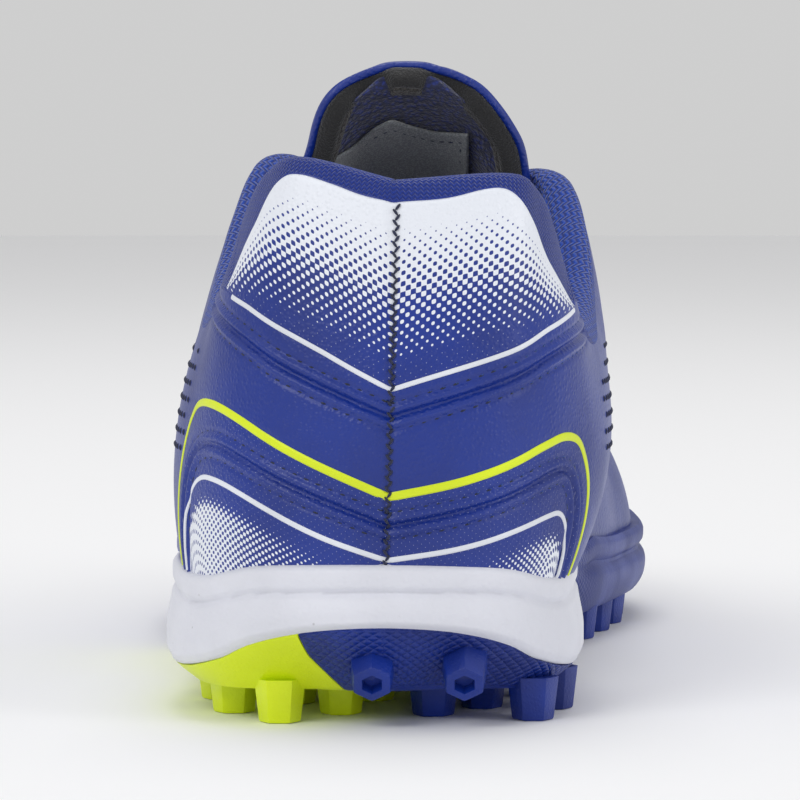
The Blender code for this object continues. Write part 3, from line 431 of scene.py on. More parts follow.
def bed(y):
    """Height of the footbed: the top of the foam that the upper stands on."""
    stack = blend(HEEL_STACK, BALL_STACK, ease(0.30, 0.62, y / LENGTH))
    return STUD_HEIGHT + stack + spring(y)


def rim_top(y):
    share = through(RIM, "z", y / LENGTH, key="y")
    fade = ease(0.49, 0.54, y / LENGTH)
    return bed(y) + blend(share * RIM_HEIGHT, 2 * GAP, fade)


def sole_wall_top(y):
    """Top of the blue rubber: a low wall round the heel that climbs into the forefoot cup."""
    low = plate_top(y) + through(PARTING, "z", y / LENGTH, key="y") * (bed(y) - plate_top(y))
    under_rim = bed(y) + 0.74 * RIM_HEIGHT
    cup = bed(y) + CUP_HEIGHT
    climbing = blend(low, under_rim, ease(0.29, 0.44, y / LENGTH))
    return blend(climbing, cup, ease(0.49, 0.54, y / LENGTH))


def cup_share(y):
    """0 where the foam shows outside, 1 where the rubber cup wraps it."""
    return ease(0.44, 0.54, y / LENGTH)


def undercut(along):
    """How far the sole's bottom edge is set in from its outline."""
    y = on_outline(along).y
    bevel = HEEL_BEVEL * (1 - ease(0.05, 0.12, abs(along)))
    return blend(HEEL_UNDERCUT + bevel, FORE_UNDERCUT, cup_share(y))


def ledge(along):
    """Width of the top of the rubber wall, which the foam or the upper covers."""
    return blend(HEEL_LEDGE, CUP_WALL, cup_share(on_outline(along).y))


def feather(along):
    return blend(HEEL_FEATHER, FORE_FEATHER, ease(0.30, 0.55, on_outline(along).y / LENGTH))


def foot_edge(along):
    """The top edge of the upper: collar and throat, then the ridge of the vamp."""
    u = abs(along)
    if u >= THROAT:
        table, x, z = RIDGE, "x", "z"
    elif along < 0:
        table, x, z = EDGE, "lateral_x", "lateral_z"
    else:
        table, x, z = EDGE, "medial_x", "medial_z"
    return Vector(
        (
            through(table, x, u) * HEEL_WIDTH,
            through(table, "y", u) * LENGTH,
            through(table, z, u) * HEEL_HEIGHT,
        )
    )


def wall_handles(along):
    """The four handles of the curve that climbs the upper at a station."""
    along = wrap(along)
    u = abs(along)
    base = plan(along, feather(along))
    start = Vector((base.x, base.y, bed(base.y) + GAP))
    end = foot_edge(along)
    across = Vector((end.x - start.x, end.y - start.y, 0))
    rise = Vector((0, 0, end.z - start.z))
    side = "lateral" if along < 0 else "medial"
    swell = outline_normal(along).to_3d() * through(SECTION, side, u) * HEEL_WIDTH * 4 / 3
    low = start + across * through(SECTION, "low_across", u) + rise * through(SECTION, "low_up", u)
    high = start + across * through(SECTION, "high_across", u) + rise * through(SECTION, "high_up", u)
    return start, low + swell, high + swell, end


def skin(along, up):
    """A point of the upper's outer face."""
    start, low, high, end = wall_handles(along)
    rest = 1 - up
    return rest**3 * start + 3 * rest**2 * up * low + 3 * rest * up**2 * high + up**3 * end


def one_sided_normal(along, up):
    below = max(up - STEP, 0)
    above = min(up + STEP, 1)
    side = math.copysign(1, along)
    before = along - STEP
    after = along + STEP
    if side * along >= THROAT - STEP and side * along < 1 - STEP:
        before, after = (along, along + STEP) if side > 0 else (along - STEP, along)
    run = skin(after, up) - skin(before, up)
    climb = skin(along, above) - skin(along, below)
    return run.cross(climb).normalized()


def skin_normal(along, up):
    """Outward normal, the same on both halves where they meet along the ridge."""
    normal = one_sided_normal(along, up)
    if up >= 1 and abs(along) >= THROAT:
        normal = (normal + one_sided_normal(-along, up)).normalized()
    return normal


def shell(along, up, out):
    """A point of the upper's outer face moved outwards, or inwards if `out` is negative."""
    return skin(along, up) + skin_normal(along, up) * out


def wall(along, up):
    """Thickness of the upper, padded towards the collar."""
    base = blend(HEEL_WALL, VAMP_WALL, ease(0.30, 0.60, abs(along)))
    edge = through(PADDING, "pad", abs(along)) * COLLAR_PAD
    return blend(base, edge, ease(0.45, 0.90, up))


def side_at(y, side):
    """How far out the outline is at a place along the shoe."""
    nearest = min(SIDES[side], key=lambda point: abs(point.y - y))
    return nearest.x


def stud_lines():
    """Base and tip of every stud."""
    lines = []
    for row in REAR_STUDS:
        tip = Vector((row.x * HEEL_WIDTH, row.y * LENGTH, REAR_STUD_END))
        lines.append((tip - REAR_STUD_AXIS * REAR_STUD_LENGTH, tip))
    upright = [Vector((row.x * HEEL_WIDTH, row.y * LENGTH, 0)) for row in HEEL_STUDS]
    for row in FORE_STUDS:
        y = row.y * LENGTH
        low = side_at(y, -1) + FORE_STUD_MARGIN
        high = side_at(y, 1) - FORE_STUD_MARGIN
        for k in range(row.count):
            share = k / (row.count - 1)
            bend = 0.035 * LENGTH * (2 * share - 1) ** 2
            upright.append(Vector((blend(low, high, share), y - bend, 0)))
    for foot in upright:
        root = plate_bottom(foot.y) + STUD_ROOT
        tip = plate_bottom(foot.y) - STUD_HEIGHT
        lines.append((Vector((foot.x, foot.y, root)), Vector((foot.x, foot.y, tip))))
    return lines


def inside_pod(x, y):
    """Whether a place in plan lies in the neon pod."""
    corners = [(row.x * HEEL_WIDTH, row.y * LENGTH) for row in POD]
    inside = False
    for (ax, ay), (bx, by) in zip(corners, corners[1:] + corners[:1]):
        if (ay > y) != (by > y) and x < ax + (y - ay) / (by - ay) * (bx - ax):
            inside = not inside
    return inside


def bed_over(rise):
    return lambda y: bed(y) + rise


def between(low, high):
    return [u for u in STATIONS if low - STEP <= u <= high + STEP]


def distance_down(along, reach):
    """The share of the way up at a distance below the top edge, measured over the surface."""
    steps = 200
    run = 0.0
    before = skin(along, 1)
    for k in range(1, steps):
        here = skin(along, 1 - k / steps)
        run += (here - before).length
        before = here
        if run >= reach:
            return 1 - k / steps
    return 0.0


def eyelet_stations():
    first = 0.44
    last = 0.595
    return [blend(first, last, k / (EYELET_PAIRS - 1)) for k in range(EYELET_PAIRS)]


def eyelet_up(along):
    return distance_down(along, EYESTAY_BAND * 0.45)


def tongue_bridge(u, share):
    """A point of the tongue's outer face between its wings, with its middle puffed up."""
    last = TONGUE_WING_ROWS[-1]
    before = TONGUE_WING_ROWS[-2]
    ends = []
    for along in (-u, u):
        depth = wall(along, 1) + TONGUE_GAP
        edge = shell(along, last, -depth)
        ends.append((edge, (edge - shell(along, before, -depth)).normalized()))
    (left, leave), (right, arrive) = ends
    span = (right - left).length
    point = hermite(left, right, leave * span, -arrive * span, share)
    lift = (1 - ease(THROAT - 0.10, THROAT - 0.02, u)) * TONGUE_PUFF
    forward = Vector((0, 0.55, 0.83))
    return point + forward * lift * math.sin(math.pi * share)


def tongue_sections():
    """Rows of points over the tongue's outer face, from under the vamp to its free end."""
    sections = []
    for u in reversed(between(TONGUE_BACK, TONGUE_FRONT)):
        wing = [shell(-u, up, -(wall(-u, up) + TONGUE_GAP)) for up in TONGUE_WING_ROWS]
        bridge = [
            tongue_bridge(u, k / (TONGUE_BRIDGE + 1)) for k in range(1, TONGUE_BRIDGE + 1)
        ]
        other = [shell(u, up, -(wall(u, up) + TONGUE_GAP)) for up in reversed(TONGUE_WING_ROWS)]
        sections.append(wing + bridge + other)
    count = len(sections[0])
    for row in TONGUE_END:
        section = []
        for k in range(count):
            q = 2 * k / (count - 1) - 1
            width = row.half_width * HEEL_WIDTH
            wrapped = TONGUE_WRAP * (row.half_width / TONGUE_END[0].half_width) ** 2
            x = row.centre_x * HEEL_WIDTH + width * math.sin(q * math.pi / 2 * 0.8) / math.sin(
                math.pi / 2 * 0.8
            )
            z = blend(row.middle_z, row.edge_z, q * q) * TONGUE_HEIGHT
            section.append(Vector((x, row.y * LENGTH - wrapped * q * q, z)))
        sections.append(section)
    return sections


def lace_path(start, end, lift):
    """Points and normals of one run of lace between two eyelets, over the tongue."""
    ends = []
    for along in (start, end):
        up = eyelet_up(along)
        normal = skin_normal(along, up)
        place = skin(along, up) + normal * (OVERLAY_GAP + OVERLAY + LACE_REST + LACE_THICKNESS / 2 + lift)
        climb = (skin(along, up + 0.02) - skin(along, up - 0.02)).normalized()
        ends.append((place, climb, normal))
    (left, leave, left_up), (right, arrive, right_up) = ends
    span = (right - left).length
    pull = 1.15 * span
    path = []
    steps = 5
    for k in range(steps + 1):
        share = k / steps
        point = hermite(left, right, leave * pull, -arrive * pull, share)
        path.append((point, left_up.lerp(right_up, share).normalized()))
    return path

# %% [markdown]
# ## Whole surfaces at once
#
# A smooth leather face needs tens of thousands of points. Each station of the wall is one Bezier curve
# with four handles, so the handles are worked out once per station, and every row follows from them by
# plain arithmetic on arrays. The normal comes from the same handles, which keeps offsets even.

# %% Points and normals of the wall on arrays
CENTRE_SHIFT = np.array((-4.388, -143.0, 0.0))


def unit(rows):
    """The same directions with length 1."""
    return rows / np.linalg.norm(rows, axis=-1, keepdims=True)


def beside(along):
    """Two stations close to this one, in the order that runs counter-clockwise."""
    side = 1 if along >= 0 else -1
    u = abs(along)
    low = max(u - STEP, THROAT) if u >= THROAT else u - STEP
    high = min(u + STEP, 1)
    pair = (side * low, side * high)
    return pair if side > 0 else pair[::-1]


def bezier(handles, ups):
    rest = 1 - ups[..., None]
    up = ups[..., None]
    start, low, high, end = (handles[:, None, k] for k in range(4))
    return rest**3 * start + 3 * rest**2 * up * low + 3 * rest * up**2 * high + up**3 * end


def bezier_climb(handles, ups):
    rest = 1 - ups[..., None]
    up = ups[..., None]
    start, low, high, end = (handles[:, None, k] for k in range(4))
    return rest**2 * (low - start) + 2 * rest * up * (high - low) + up**2 * (end - high)


def wall_points(stations, ups):
    """Points and outward normals of the upper's outer face, for columns of shares of the way up."""
    middle = np.array([wall_handles(a) for a in stations])
    before = np.array([wall_handles(beside(a)[0]) for a in stations])
    after = np.array([wall_handles(beside(a)[1]) for a in stations])
    run = bezier(after, ups) - bezier(before, ups)
    normal = np.cross(run, bezier_climb(middle, np.clip(ups, 0, 0.9995)))
    normal = unit(normal)
    return bezier(middle, ups), normal


def ups_at_heights(stations, heights):
    """Shares of the way up where each column reaches its heights."""
    fine = np.linspace(0, 1, 161)
    handles = np.array([wall_handles(a) for a in stations])
    z = bezier(handles, np.tile(fine, (len(stations), 1)))[..., 2]
    return np.array([np.interp(heights[i], z[i], fine) for i in range(len(stations))])


def smooth_step(low, high, x):
    s = np.clip((np.asarray(x, float) - low) / (high - low), 0, 1)
    return s * s * (3 - 2 * s)


def bell(x, width):
    return np.exp(-((x / width) ** 2))


def table_row(table, column, stations):
    return np.array([through(table, column, abs(a)) for a in stations])


def wall_depth(stations, ups):
    """Thickness of the upper at each point, padded towards the collar."""
    u = np.abs(stations)[:, None]
    base = HEEL_WALL + (VAMP_WALL - HEEL_WALL) * smooth_step(0.30, 0.60, u)
    edge = table_row(PADDING, "pad", stations)[:, None] * COLLAR_PAD
    return base + (edge - base) * smooth_step(0.45, 0.90, ups)


print("collar at the back seam:", [round(c, 1) for c in foot_edge(0)])

# %% [markdown]
# ## Sheets from a grid
#
# Every skin of this shoe is a grid that was pulled over a form, so each one starts as Blender's grid
# primitive. Its points are then set on the form, row by row. Values that the finish needs later, such
# as how much white is printed, are stored on the points, and the pattern's own flat measure goes into
# the UV map.

# %% Pull a grid over a form
MILLIMETRE = 0.001


def deselect():
    if bpy.context.object and bpy.context.object.mode != "OBJECT":
        bpy.ops.object.mode_set(mode="OBJECT")
    bpy.ops.object.select_all(action="DESELECT")


def only(piece):
    deselect()
    piece.select_set(True)
    bpy.context.view_layer.objects.active = piece
    return piece


def copies(name, points, faces, finish):
    """A piece from points in millimetres and faces, which a modelled shape was copied to."""
    places = (points + CENTRE_SHIFT) * MILLIMETRE
    mesh = bpy.data.meshes.new(name)
    mesh.from_pydata([tuple(p) for p in places], [], faces)
    mesh.polygons.foreach_set("use_smooth", [True] * len(mesh.polygons))
    mesh.materials.append(finish)
    piece = bpy.data.objects.new(name, mesh)
    bpy.context.scene.collection.objects.link(piece)
    return piece


def turn_faces_out():
    """Turn every face of the active piece outwards."""
    bpy.ops.object.mode_set(mode="EDIT")
    bpy.ops.mesh.select_all(action="SELECT")
    bpy.ops.mesh.normals_make_consistent(inside=False)
    bpy.ops.object.mode_set(mode="OBJECT")


def joined(pieces, name):
    """Several pieces as one."""
    deselect()
    for piece in pieces:
        piece.select_set(True)
    bpy.context.view_layer.objects.active = pieces[0]
    bpy.ops.object.join()
    bpy.context.active_object.name = name
    return bpy.context.active_object


def pull_grid(name, points, flat=None, stored=None):
    """A grid of columns and rows whose points, in millimetres, are set one by one."""
    columns, rows = points.shape[:2]
    deselect()
    bpy.ops.mesh.primitive_grid_add(x_subdivisions=rows - 1, y_subdivisions=columns - 1, size=1)
    piece = bpy.context.active_object
    piece.name = name
    piece.data.name = name
    mesh = piece.data
    places = (points.reshape(-1, 3) + CENTRE_SHIFT) * MILLIMETRE
    mesh.vertices.foreach_set("co", places.astype(np.float32).ravel())
    for key, values in (stored or {}).items():
        layer = mesh.attributes.new(key, "FLOAT", "POINT")
        layer.data.foreach_set("value", np.broadcast_to(values, (columns, rows)).astype(np.float32).ravel())
    if flat is not None:
        corner = np.empty(len(mesh.loops), int)
        mesh.loops.foreach_get("vertex_index", corner)
        mesh.uv_layers[0].data.foreach_set("uv", flat.reshape(-1, 2)[corner].astype(np.float32).ravel())
    mesh.flip_normals()
    mesh.update()
    mesh.polygons.foreach_set("use_smooth", [True] * len(mesh.polygons))
    return piece


def weld(piece, reach=0.02):
    """Merge the doubles where a grid meets itself."""
    only(piece)
    bpy.ops.object.mode_set(mode="EDIT")
    bpy.ops.mesh.select_all(action="SELECT")
    bpy.ops.mesh.remove_doubles(threshold=reach * MILLIMETRE)
    bpy.ops.object.mode_set(mode="OBJECT")
    return piece


def thicken(piece, depth):
    """Give a sheet its thickness, inwards."""
    only(piece)
    solid = piece.modifiers.new("thickness", "SOLIDIFY")
    solid.thickness = depth * MILLIMETRE
    solid.offset = -1
    solid.use_quality_normals = True
    bpy.ops.object.modifier_apply(modifier=solid.name)
    return piece


def settle_piece(piece, slot, *nodes):
    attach(piece, "root")
    if nodes:
        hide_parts(*nodes)
    print(piece.name, len(piece.data.polygons), "faces")
    return piece


# %% [markdown]
# ## Lines that the panels follow
#
# The heel of the shoe is drawn by a few curves: the white and yellow lines, and the sewn grooves between
# the rows of stitches. Each is a list of places given by station round the foot and height, read off the
# photograph with the camera's own geometry. A smooth curve runs through them, and everything on the heel
# is placed against these curves: panels end on them, grooves sink along them and stitches follow them.

# %% The heel's curves: station round the foot, height in millimetres
PRINT_EDGE = (
    *((-0.112, 78.6), (-0.0994, 77.4), (-0.0811, 75.5), (-0.0554, 72.1), (-0.0349, 68.6), (-0.017, 65.0)),
    *((0.001, 61.6), (0.0227, 64.3), (0.0564, 68.4), (0.0829, 71.7), (0.1141, 74.8), (0.125, 75.6)),
)
PRINT_TOP = (
    *((-0.112, 78.0), (-0.1027, 81.5), (-0.0888, 89.0), (-0.0714, 96.3), (-0.058, 99.4), (-0.0460, 99.8)),
    *((-0.03, 98.2), (-0.015, 96.2), (0.000, 95.0), (0.02, 95.6), (0.036, 97.2), (0.0455, 97.3)),
    *((0.054, 95.6), (0.0640, 92.2), (0.0865, 84.0), (0.1086, 77.4), (0.120, 75.2)),
)
UPPER_GROOVE = (
    *((-0.160, 78.6), (-0.135, 76.2), (-0.1132, 73.7), (-0.0791, 69.0), (-0.0464, 64.0), (-0.022, 60.1)),
    *((0.001, 56.6), (0.0236, 59.2), (0.0593, 63.6), (0.0973, 68.0), (0.1250, 70.2), (0.160, 72.0)),
)
YELLOW_LINE = (
    *((-0.1680, 27.0), (-0.1625, 32.0), (-0.1566, 38.5), (-0.1510, 44.6), (-0.1445, 50.0), (-0.1370, 54.4)),
    *((-0.1280, 57.2), (-0.1148, 57.9), (-0.0956, 56.6), (-0.0662, 52.6), (-0.0316, 47.2), (0.001, 42.4)),
    *((0.0343, 44.8), (0.0674, 48.4), (0.0895, 51.0), (0.1050, 52.2), (0.1180, 51.2), (0.1270, 47.6)),
    *((0.1345, 42.4), (0.1400, 35.5), (0.1440, 26.0)),
)
LOWER_GROOVE = (
    *((-0.1520, 27.0), (-0.1480, 33.0), (-0.1420, 40.0), (-0.1350, 45.6), (-0.1250, 49.4), (-0.1126, 50.6)),
    *((-0.0952, 49.6), (-0.0670, 46.0), (-0.0320, 41.3), (0.001, 37.0), (0.0364, 39.4), (0.0712, 42.7)),
    *((0.0993, 45.9), (0.1120, 45.6), (0.1210, 41.8), (0.1270, 36.2), (0.1310, 27.0)),
)
WHITE_LINE = (
    *((-0.1480, 27.0), (-0.1440, 33.0), (-0.1390, 38.0), (-0.1310, 42.2), (-0.1220, 44.2), (-0.1120, 44.4)),
    *((-0.0957, 43.2), (-0.0681, 39.7), (-0.0328, 34.7), (0.001, 31.0), (0.0394, 32.9), (0.0764, 35.9)),
    *((0.1000, 38.0), (0.1110, 38.2), (0.1190, 35.8), (0.1235, 32.0), (0.1260, 26.0)),
)
CURVE_STEP = 0.4


def smooth_rows(rows, times):
    """The rows with a smooth curve through them, in so many steps from one to the next."""
    padded = np.concatenate([2 * rows[:1] - rows[1:2], rows, 2 * rows[-1:] - rows[-2:-1]])
    out = []
    for k in range(1, len(padded) - 2):
        a, b, c, d = padded[k - 1 : k + 3]
        square = 2 * a - 5 * b + 4 * c - d
        cube = 3 * b - a - 3 * c + d
        out += [0.5 * (2 * b + (c - a) * s + square * s**2 + cube * s**3) for s in np.arange(times) / times]
    out.append(rows[-1])
    return np.array(out)


def smooth_curve(rows, corner=0.001, fine=14):
    """A curve through the rows, with a corner kept at the back seam."""
    rows = np.array(rows, float)
    split = int(np.argmin(np.abs(rows[:, 0] - corner)))
    has_corner = abs(rows[split, 0] - corner) < 0.003
    pieces = (rows[: split + 1], rows[split:]) if has_corner else (rows,)
    smooth = [smooth_rows(piece, fine)[:-1] for piece in pieces]
    return np.vstack([*smooth, rows[-1:]])


def height_along(rows, stations):
    """Height of a curve that never turns back, at each station."""
    curve = smooth_curve(rows)
    order = np.argsort(curve[:, 0])
    return np.interp(stations, curve[order, 0], curve[order, 1])


def on_wall(places):
    """Points and normals on the upper at places given by station and height."""
    stations = places[:, 0]
    ups = ups_at_heights(stations, places[:, 1:2])
    points, normals = wall_points(stations, ups)
    return points[:, 0], normals[:, 0]


def even_walk(points, step=CURVE_STEP):
    """The same line with points at even distances, and the distance of each from its start."""
    leg = np.linalg.norm(np.diff(points, axis=0), axis=1)
    run = np.concatenate([[0], np.cumsum(leg)])
    count = max(int(run[-1] / step), 2)
    target = np.linspace(0, run[-1], count + 1)
    return np.stack([np.interp(target, run, points[:, k]) for k in range(points.shape[1])], axis=1), target


def distance_to(line, points):
    """Distance of each point from a line of points, in millimetres."""
    flat = points.reshape(-1, 3)
    nearest = np.empty(len(flat))
    for start in range(0, len(flat), 4000):
        block = flat[start : start + 4000]
        gap = ((block[:, None, :] - line[None]) ** 2).sum(axis=-1)
        nearest[start : start + 4000] = np.sqrt(gap.min(axis=1))
    return nearest.reshape(points.shape[:-1])


GROOVES = [even_walk(on_wall(smooth_curve(rows))[0])[0] for rows in (UPPER_GROOVE, LOWER_GROOVE)]
print("grooves", [len(line) for line in GROOVES])

# %% [markdown]
# ## The leather's relief
#
# Under the heel's leather lies a thin foam, so the sewn lines sink into it and the leather swells beside
# them. One function gives the height of the relief anywhere on the outside: the padded heel, the two
# grooves, the back seam, and the soft pleats that the sides show where they run into the vamp. The grain
# is left to the finish, because it is finer than the mesh.

# %% Height of the leather over its lining
HEEL_PUFF = 1.15
STITCHES_ASIDE = 2.45
LEATHER = 0.3


def groove_relief(distance):
    sunk = -0.62 * bell(distance, 0.50)
    swell = 0.42 * bell(distance - 1.30, 0.62)
    sewn = -0.28 * bell(distance - STITCHES_ASIDE, 0.45)
    return sunk + swell + sewn


def pleats(stations, points):
    """Soft slanted bands on both sides of the foot, deepest low on the quarter."""
    u = np.abs(stations)[:, None]
    here = smooth_step(0.24, 0.31, u) * (1 - smooth_step(0.50, 0.60, u))
    height = points[..., 2]
    here = here * smooth_step(26, 36, height) * (1 - smooth_step(60, 76, height))
    wave = np.sin((points[..., 1] * 0.80 + height * 0.62) / 6.2 * math.pi * 0.72)
    return here * 0.55 * wave


def relief(stations, points):
    u = np.abs(stations)[:, None]
    padded = LEATHER + HEEL_PUFF * (1 - smooth_step(0.15, 0.24, u))
    near_heel = np.abs(stations) < 0.19
    height = np.array(np.broadcast_to(padded, points.shape[:-1]))
    if near_heel.any():
        local = points[near_heel]
        for line in GROOVES:
            height[near_heel] += groove_relief(distance_to(line, local))
        seam = np.abs(np.array([on_outline(a).x for a in stations]))[near_heel][:, None]
        height[near_heel] -= 0.55 * bell(seam, 0.9)
    return height + pleats(stations, points)


def flat_measure(stations, points):
    """Distance round from the back seam and height, in millimetres, for flat patterns."""
    middle = len(stations) // 2
    leg = np.linalg.norm(np.diff(points, axis=0), axis=-1)
    run = np.concatenate([np.zeros((1, points.shape[1])), np.cumsum(leg, axis=0)])
    seam = int(np.argmin(np.abs(stations)))
    across = run - run[seam if abs(stations[seam]) < 0.01 else middle]
    return np.stack([across, points[..., 2]], axis=-1)


print("relief at a groove:", round(float(groove_relief(np.array(0.0))), 2), "mm")

# %% [markdown]
# ## Finishes
#
# The shoe is coated leather, knit, felt, foam and two rubbers. Each surface gets its fine detail from
# small patterns: pebbles for the leather, loops for the knit, lozenges for the heel rubber, and printed
# dots whose size follows the tone stored on the points. A pattern that several finishes need is built
# once as a node group.

# %% Small helpers for node trees
TURN = 2 * math.pi
FLAT_SCALE = 100.0


def add_node(tree, kind, inputs=(), **settings):
    made = tree.nodes.new(kind)
    for key, value in settings.items():
        setattr(made, key, value)
    for key, value in dict(inputs).items():
        if isinstance(value, bpy.types.NodeSocket):
            tree.links.new(value, made.inputs[key])
        else:
            made.inputs[key].default_value = value
    return made


def sum_of(tree, operation, a, b=0.0, clamp=False):
    return add_node(tree, "ShaderNodeMath", {0: a, 1: b}, operation=operation, use_clamp=clamp).outputs[0]


def ramp(tree, value, low, high, out_low=0.0, out_high=1.0):
    settings = {"Value": value, "From Min": low, "From Max": high, "To Min": out_low, "To Max": out_high}
    return add_node(tree, "ShaderNodeMapRange", settings, interpolation_type="SMOOTHSTEP").outputs[0]


def mixed(tree, share, a, b):
    made = add_node(tree, "ShaderNodeMix", {0: share, 6: a, 7: b}, data_type="RGBA")
    return made.outputs[2]


def new_group(name, inputs, outputs):
    tree = bpy.data.node_groups.new(name, "ShaderNodeTree")
    for key, kind, value in inputs:
        socket = tree.interface.new_socket(key, in_out="INPUT", socket_type=kind)
        if value is not None:
            socket.default_value = value
    for key in outputs:
        tree.interface.new_socket(key, in_out="OUTPUT", socket_type="NodeSocketFloat")
    return tree, tree.nodes.new("NodeGroupInput").outputs, tree.nodes.new("NodeGroupOutput").inputs


def use_group(tree, group, **inputs):
    made = tree.nodes.new("ShaderNodeGroup")
    made.node_tree = group
    for key, value in inputs.items():
        if isinstance(value, bpy.types.NodeSocket):
            tree.links.new(value, made.inputs[key])
        else:
            made.inputs[key].default_value = value
    return made.outputs


# %% [markdown]
# ### Patterns that are shared
#
# Leather grain is a field of pebbles with narrow valleys. A knit is rows of small V-shaped loops. A
# printed tone is a halftone: a wave pattern turned by 45 degrees is cut at a level, so that low tones
# give separate dots, the middle gives a checkerboard and high tones leave specks of leather.

# %% Pattern groups
VECTOR = "NodeSocketVector"
FLOAT = "NodeSocketFloat"


def build_grain():
    given_sockets = [("Place", VECTOR, None), ("Size", FLOAT, 0.8)]
    tree, given, result = new_group("pebble_grain", given_sockets, ["Height"])
    scale = sum_of(tree, "DIVIDE", 1000.0, given["Size"])
    pebbles = add_node(
        tree,
        "ShaderNodeTexVoronoi",
        {"Vector": given["Place"], "Scale": scale, "Smoothness": 0.35},
        feature="SMOOTH_F1",
    )
    fine_scale = sum_of(tree, "MULTIPLY", scale, 2.7)
    fine_place = {"Vector": given["Place"], "Scale": fine_scale, "Detail": 2.0}
    fine = add_node(tree, "ShaderNodeTexNoise", fine_place)
    rounded = ramp(tree, pebbles.outputs["Distance"], 0.1, 0.62, 1.0, 0.0)
    height = sum_of(tree, "ADD", rounded, sum_of(tree, "MULTIPLY", fine.outputs[0], 0.45))
    tree.links.new(height, result["Height"])
    return tree


def build_halftone():
    tree, given, result = new_group(
        "printed_dots", [("Flat", VECTOR, None), ("Pitch", FLOAT, 1.3), ("Tone", FLOAT, 0.5)], ["Ink"]
    )
    split = add_node(tree, "ShaderNodeSeparateXYZ", {0: given["Flat"]}).outputs
    waves = []
    for operation in ("ADD", "SUBTRACT"):
        turned = sum_of(tree, operation, split["X"], split["Y"])
        steps = sum_of(tree, "DIVIDE", turned, given["Pitch"])
        waves.append(sum_of(tree, "COSINE", sum_of(tree, "MULTIPLY", steps, TURN / math.sqrt(2))))
    spot = sum_of(tree, "MULTIPLY_ADD", sum_of(tree, "ADD", *waves), 0.25)
    spot.node.inputs[2].default_value = 0.5
    level = sum_of(tree, "SUBTRACT", 1.0, given["Tone"])
    over = sum_of(tree, "SUBTRACT", spot, level)
    tree.links.new(ramp(tree, over, -0.035, 0.035), result["Ink"])
    return tree


def build_knit():
    tree, given, result = new_group(
        "knit_loops",
        [("Flat", VECTOR, None), ("Wale", FLOAT, 1.1), ("Course", FLOAT, 0.9)],
        ["Height", "Gap"],
    )
    split = add_node(tree, "ShaderNodeSeparateXYZ", {0: given["Flat"]}).outputs
    wales = sum_of(tree, "DIVIDE", split["X"], given["Wale"])
    side = sum_of(tree, "ABSOLUTE", sum_of(tree, "SUBTRACT", sum_of(tree, "FRACT", wales), 0.5))
    slanted = sum_of(tree, "MULTIPLY_ADD", side, 1.3)
    tree.links.new(sum_of(tree, "DIVIDE", split["Y"], given["Course"]), slanted.node.inputs[2])
    courses = sum_of(tree, "SINE", sum_of(tree, "MULTIPLY", slanted, TURN))
    rounded = sum_of(tree, "MULTIPLY_ADD", courses, 0.5)
    rounded.node.inputs[2].default_value = 0.5
    rib = sum_of(tree, "SINE", sum_of(tree, "MULTIPLY", sum_of(tree, "FRACT", wales), math.pi))
    height = sum_of(tree, "MULTIPLY", rounded, sum_of(tree, "MULTIPLY_ADD", rib, 0.7))
    tree.links.new(height, result["Height"])
    tree.links.new(ramp(tree, height, 0.05, 0.3, 1.0, 0.0), result["Gap"])
    return tree


def build_lozenges():
    given_sockets = [("Flat", VECTOR, None), ("Pitch", FLOAT, 1.6)]
    tree, given, result = new_group("rubber_lozenges", given_sockets, ["Height"])
    split = add_node(tree, "ShaderNodeSeparateXYZ", {0: given["Flat"]}).outputs
    wide = sum_of(tree, "DIVIDE", sum_of(tree, "MULTIPLY", split["X"], math.pi), given["Pitch"])
    tall = sum_of(tree, "DIVIDE", sum_of(tree, "MULTIPLY", split["Y"], math.pi * 1.5), given["Pitch"])
    rise = sum_of(tree, "SINE", sum_of(tree, "ADD", wide, tall))
    fall = sum_of(tree, "SINE", sum_of(tree, "SUBTRACT", wide, tall))
    bumps = sum_of(tree, "MULTIPLY", sum_of(tree, "ABSOLUTE", rise), sum_of(tree, "ABSOLUTE", fall))
    tree.links.new(sum_of(tree, "POWER", bumps, 0.6), result["Height"])
    return tree


def build_wear():
    """Slow variation of colour and gloss, and sparse specks of dust."""
    tree, given, result = new_group("use_marks", [("Place", VECTOR, None)], ["Cloud", "Dust"])
    cloud = add_node(tree, "ShaderNodeTexNoise", {"Vector": given["Place"], "Scale": 45.0, "Detail": 4.0})
    dust = add_node(tree, "ShaderNodeTexVoronoi", {"Vector": given["Place"], "Scale": 210.0})
    tree.links.new(cloud.outputs[0], result["Cloud"])
    tree.links.new(ramp(tree, dust.outputs["Distance"], 0.03, 0.07, 1.0, 0.0), result["Dust"])
    return tree


GRAIN = build_grain()
HALFTONE = build_halftone()
KNIT = build_knit()
LOZENGES = build_lozenges()
USE_MARKS = build_wear()
print("pattern groups", [g.name for g in bpy.data.node_groups])

# %% [markdown]
# ### The finishes themselves
#
# Each finish is one material with its colour, its gloss and a bump from the patterns above. Colours are
# linear. The royal blue is the same in leather, knit, rubber and lace, and only its gloss and its grain
# tell them apart, as on the real shoe.

# %% Materials
ROYAL = (0.0035, 0.0300, 0.2900, 1)
ROYAL_DEEP = (0.0020, 0.0170, 0.1800, 1)
ROYAL_LIGHT = (0.0080, 0.0600, 0.4300, 1)
NEON = (0.7600, 0.9000, 0.0050, 1)
PRINT_WHITE = (0.8200, 0.8500, 0.9200, 1)
FOAM_WHITE = (0.7600, 0.7700, 0.8400, 1)
THREAD_NAVY = (0.0030, 0.0100, 0.0550, 1)
# Lighter blue for the painted highlights on the heel stitches
THREAD_PAINTED_HIGHLIGHT = (0.0060, 0.0650, 0.3300, 1)


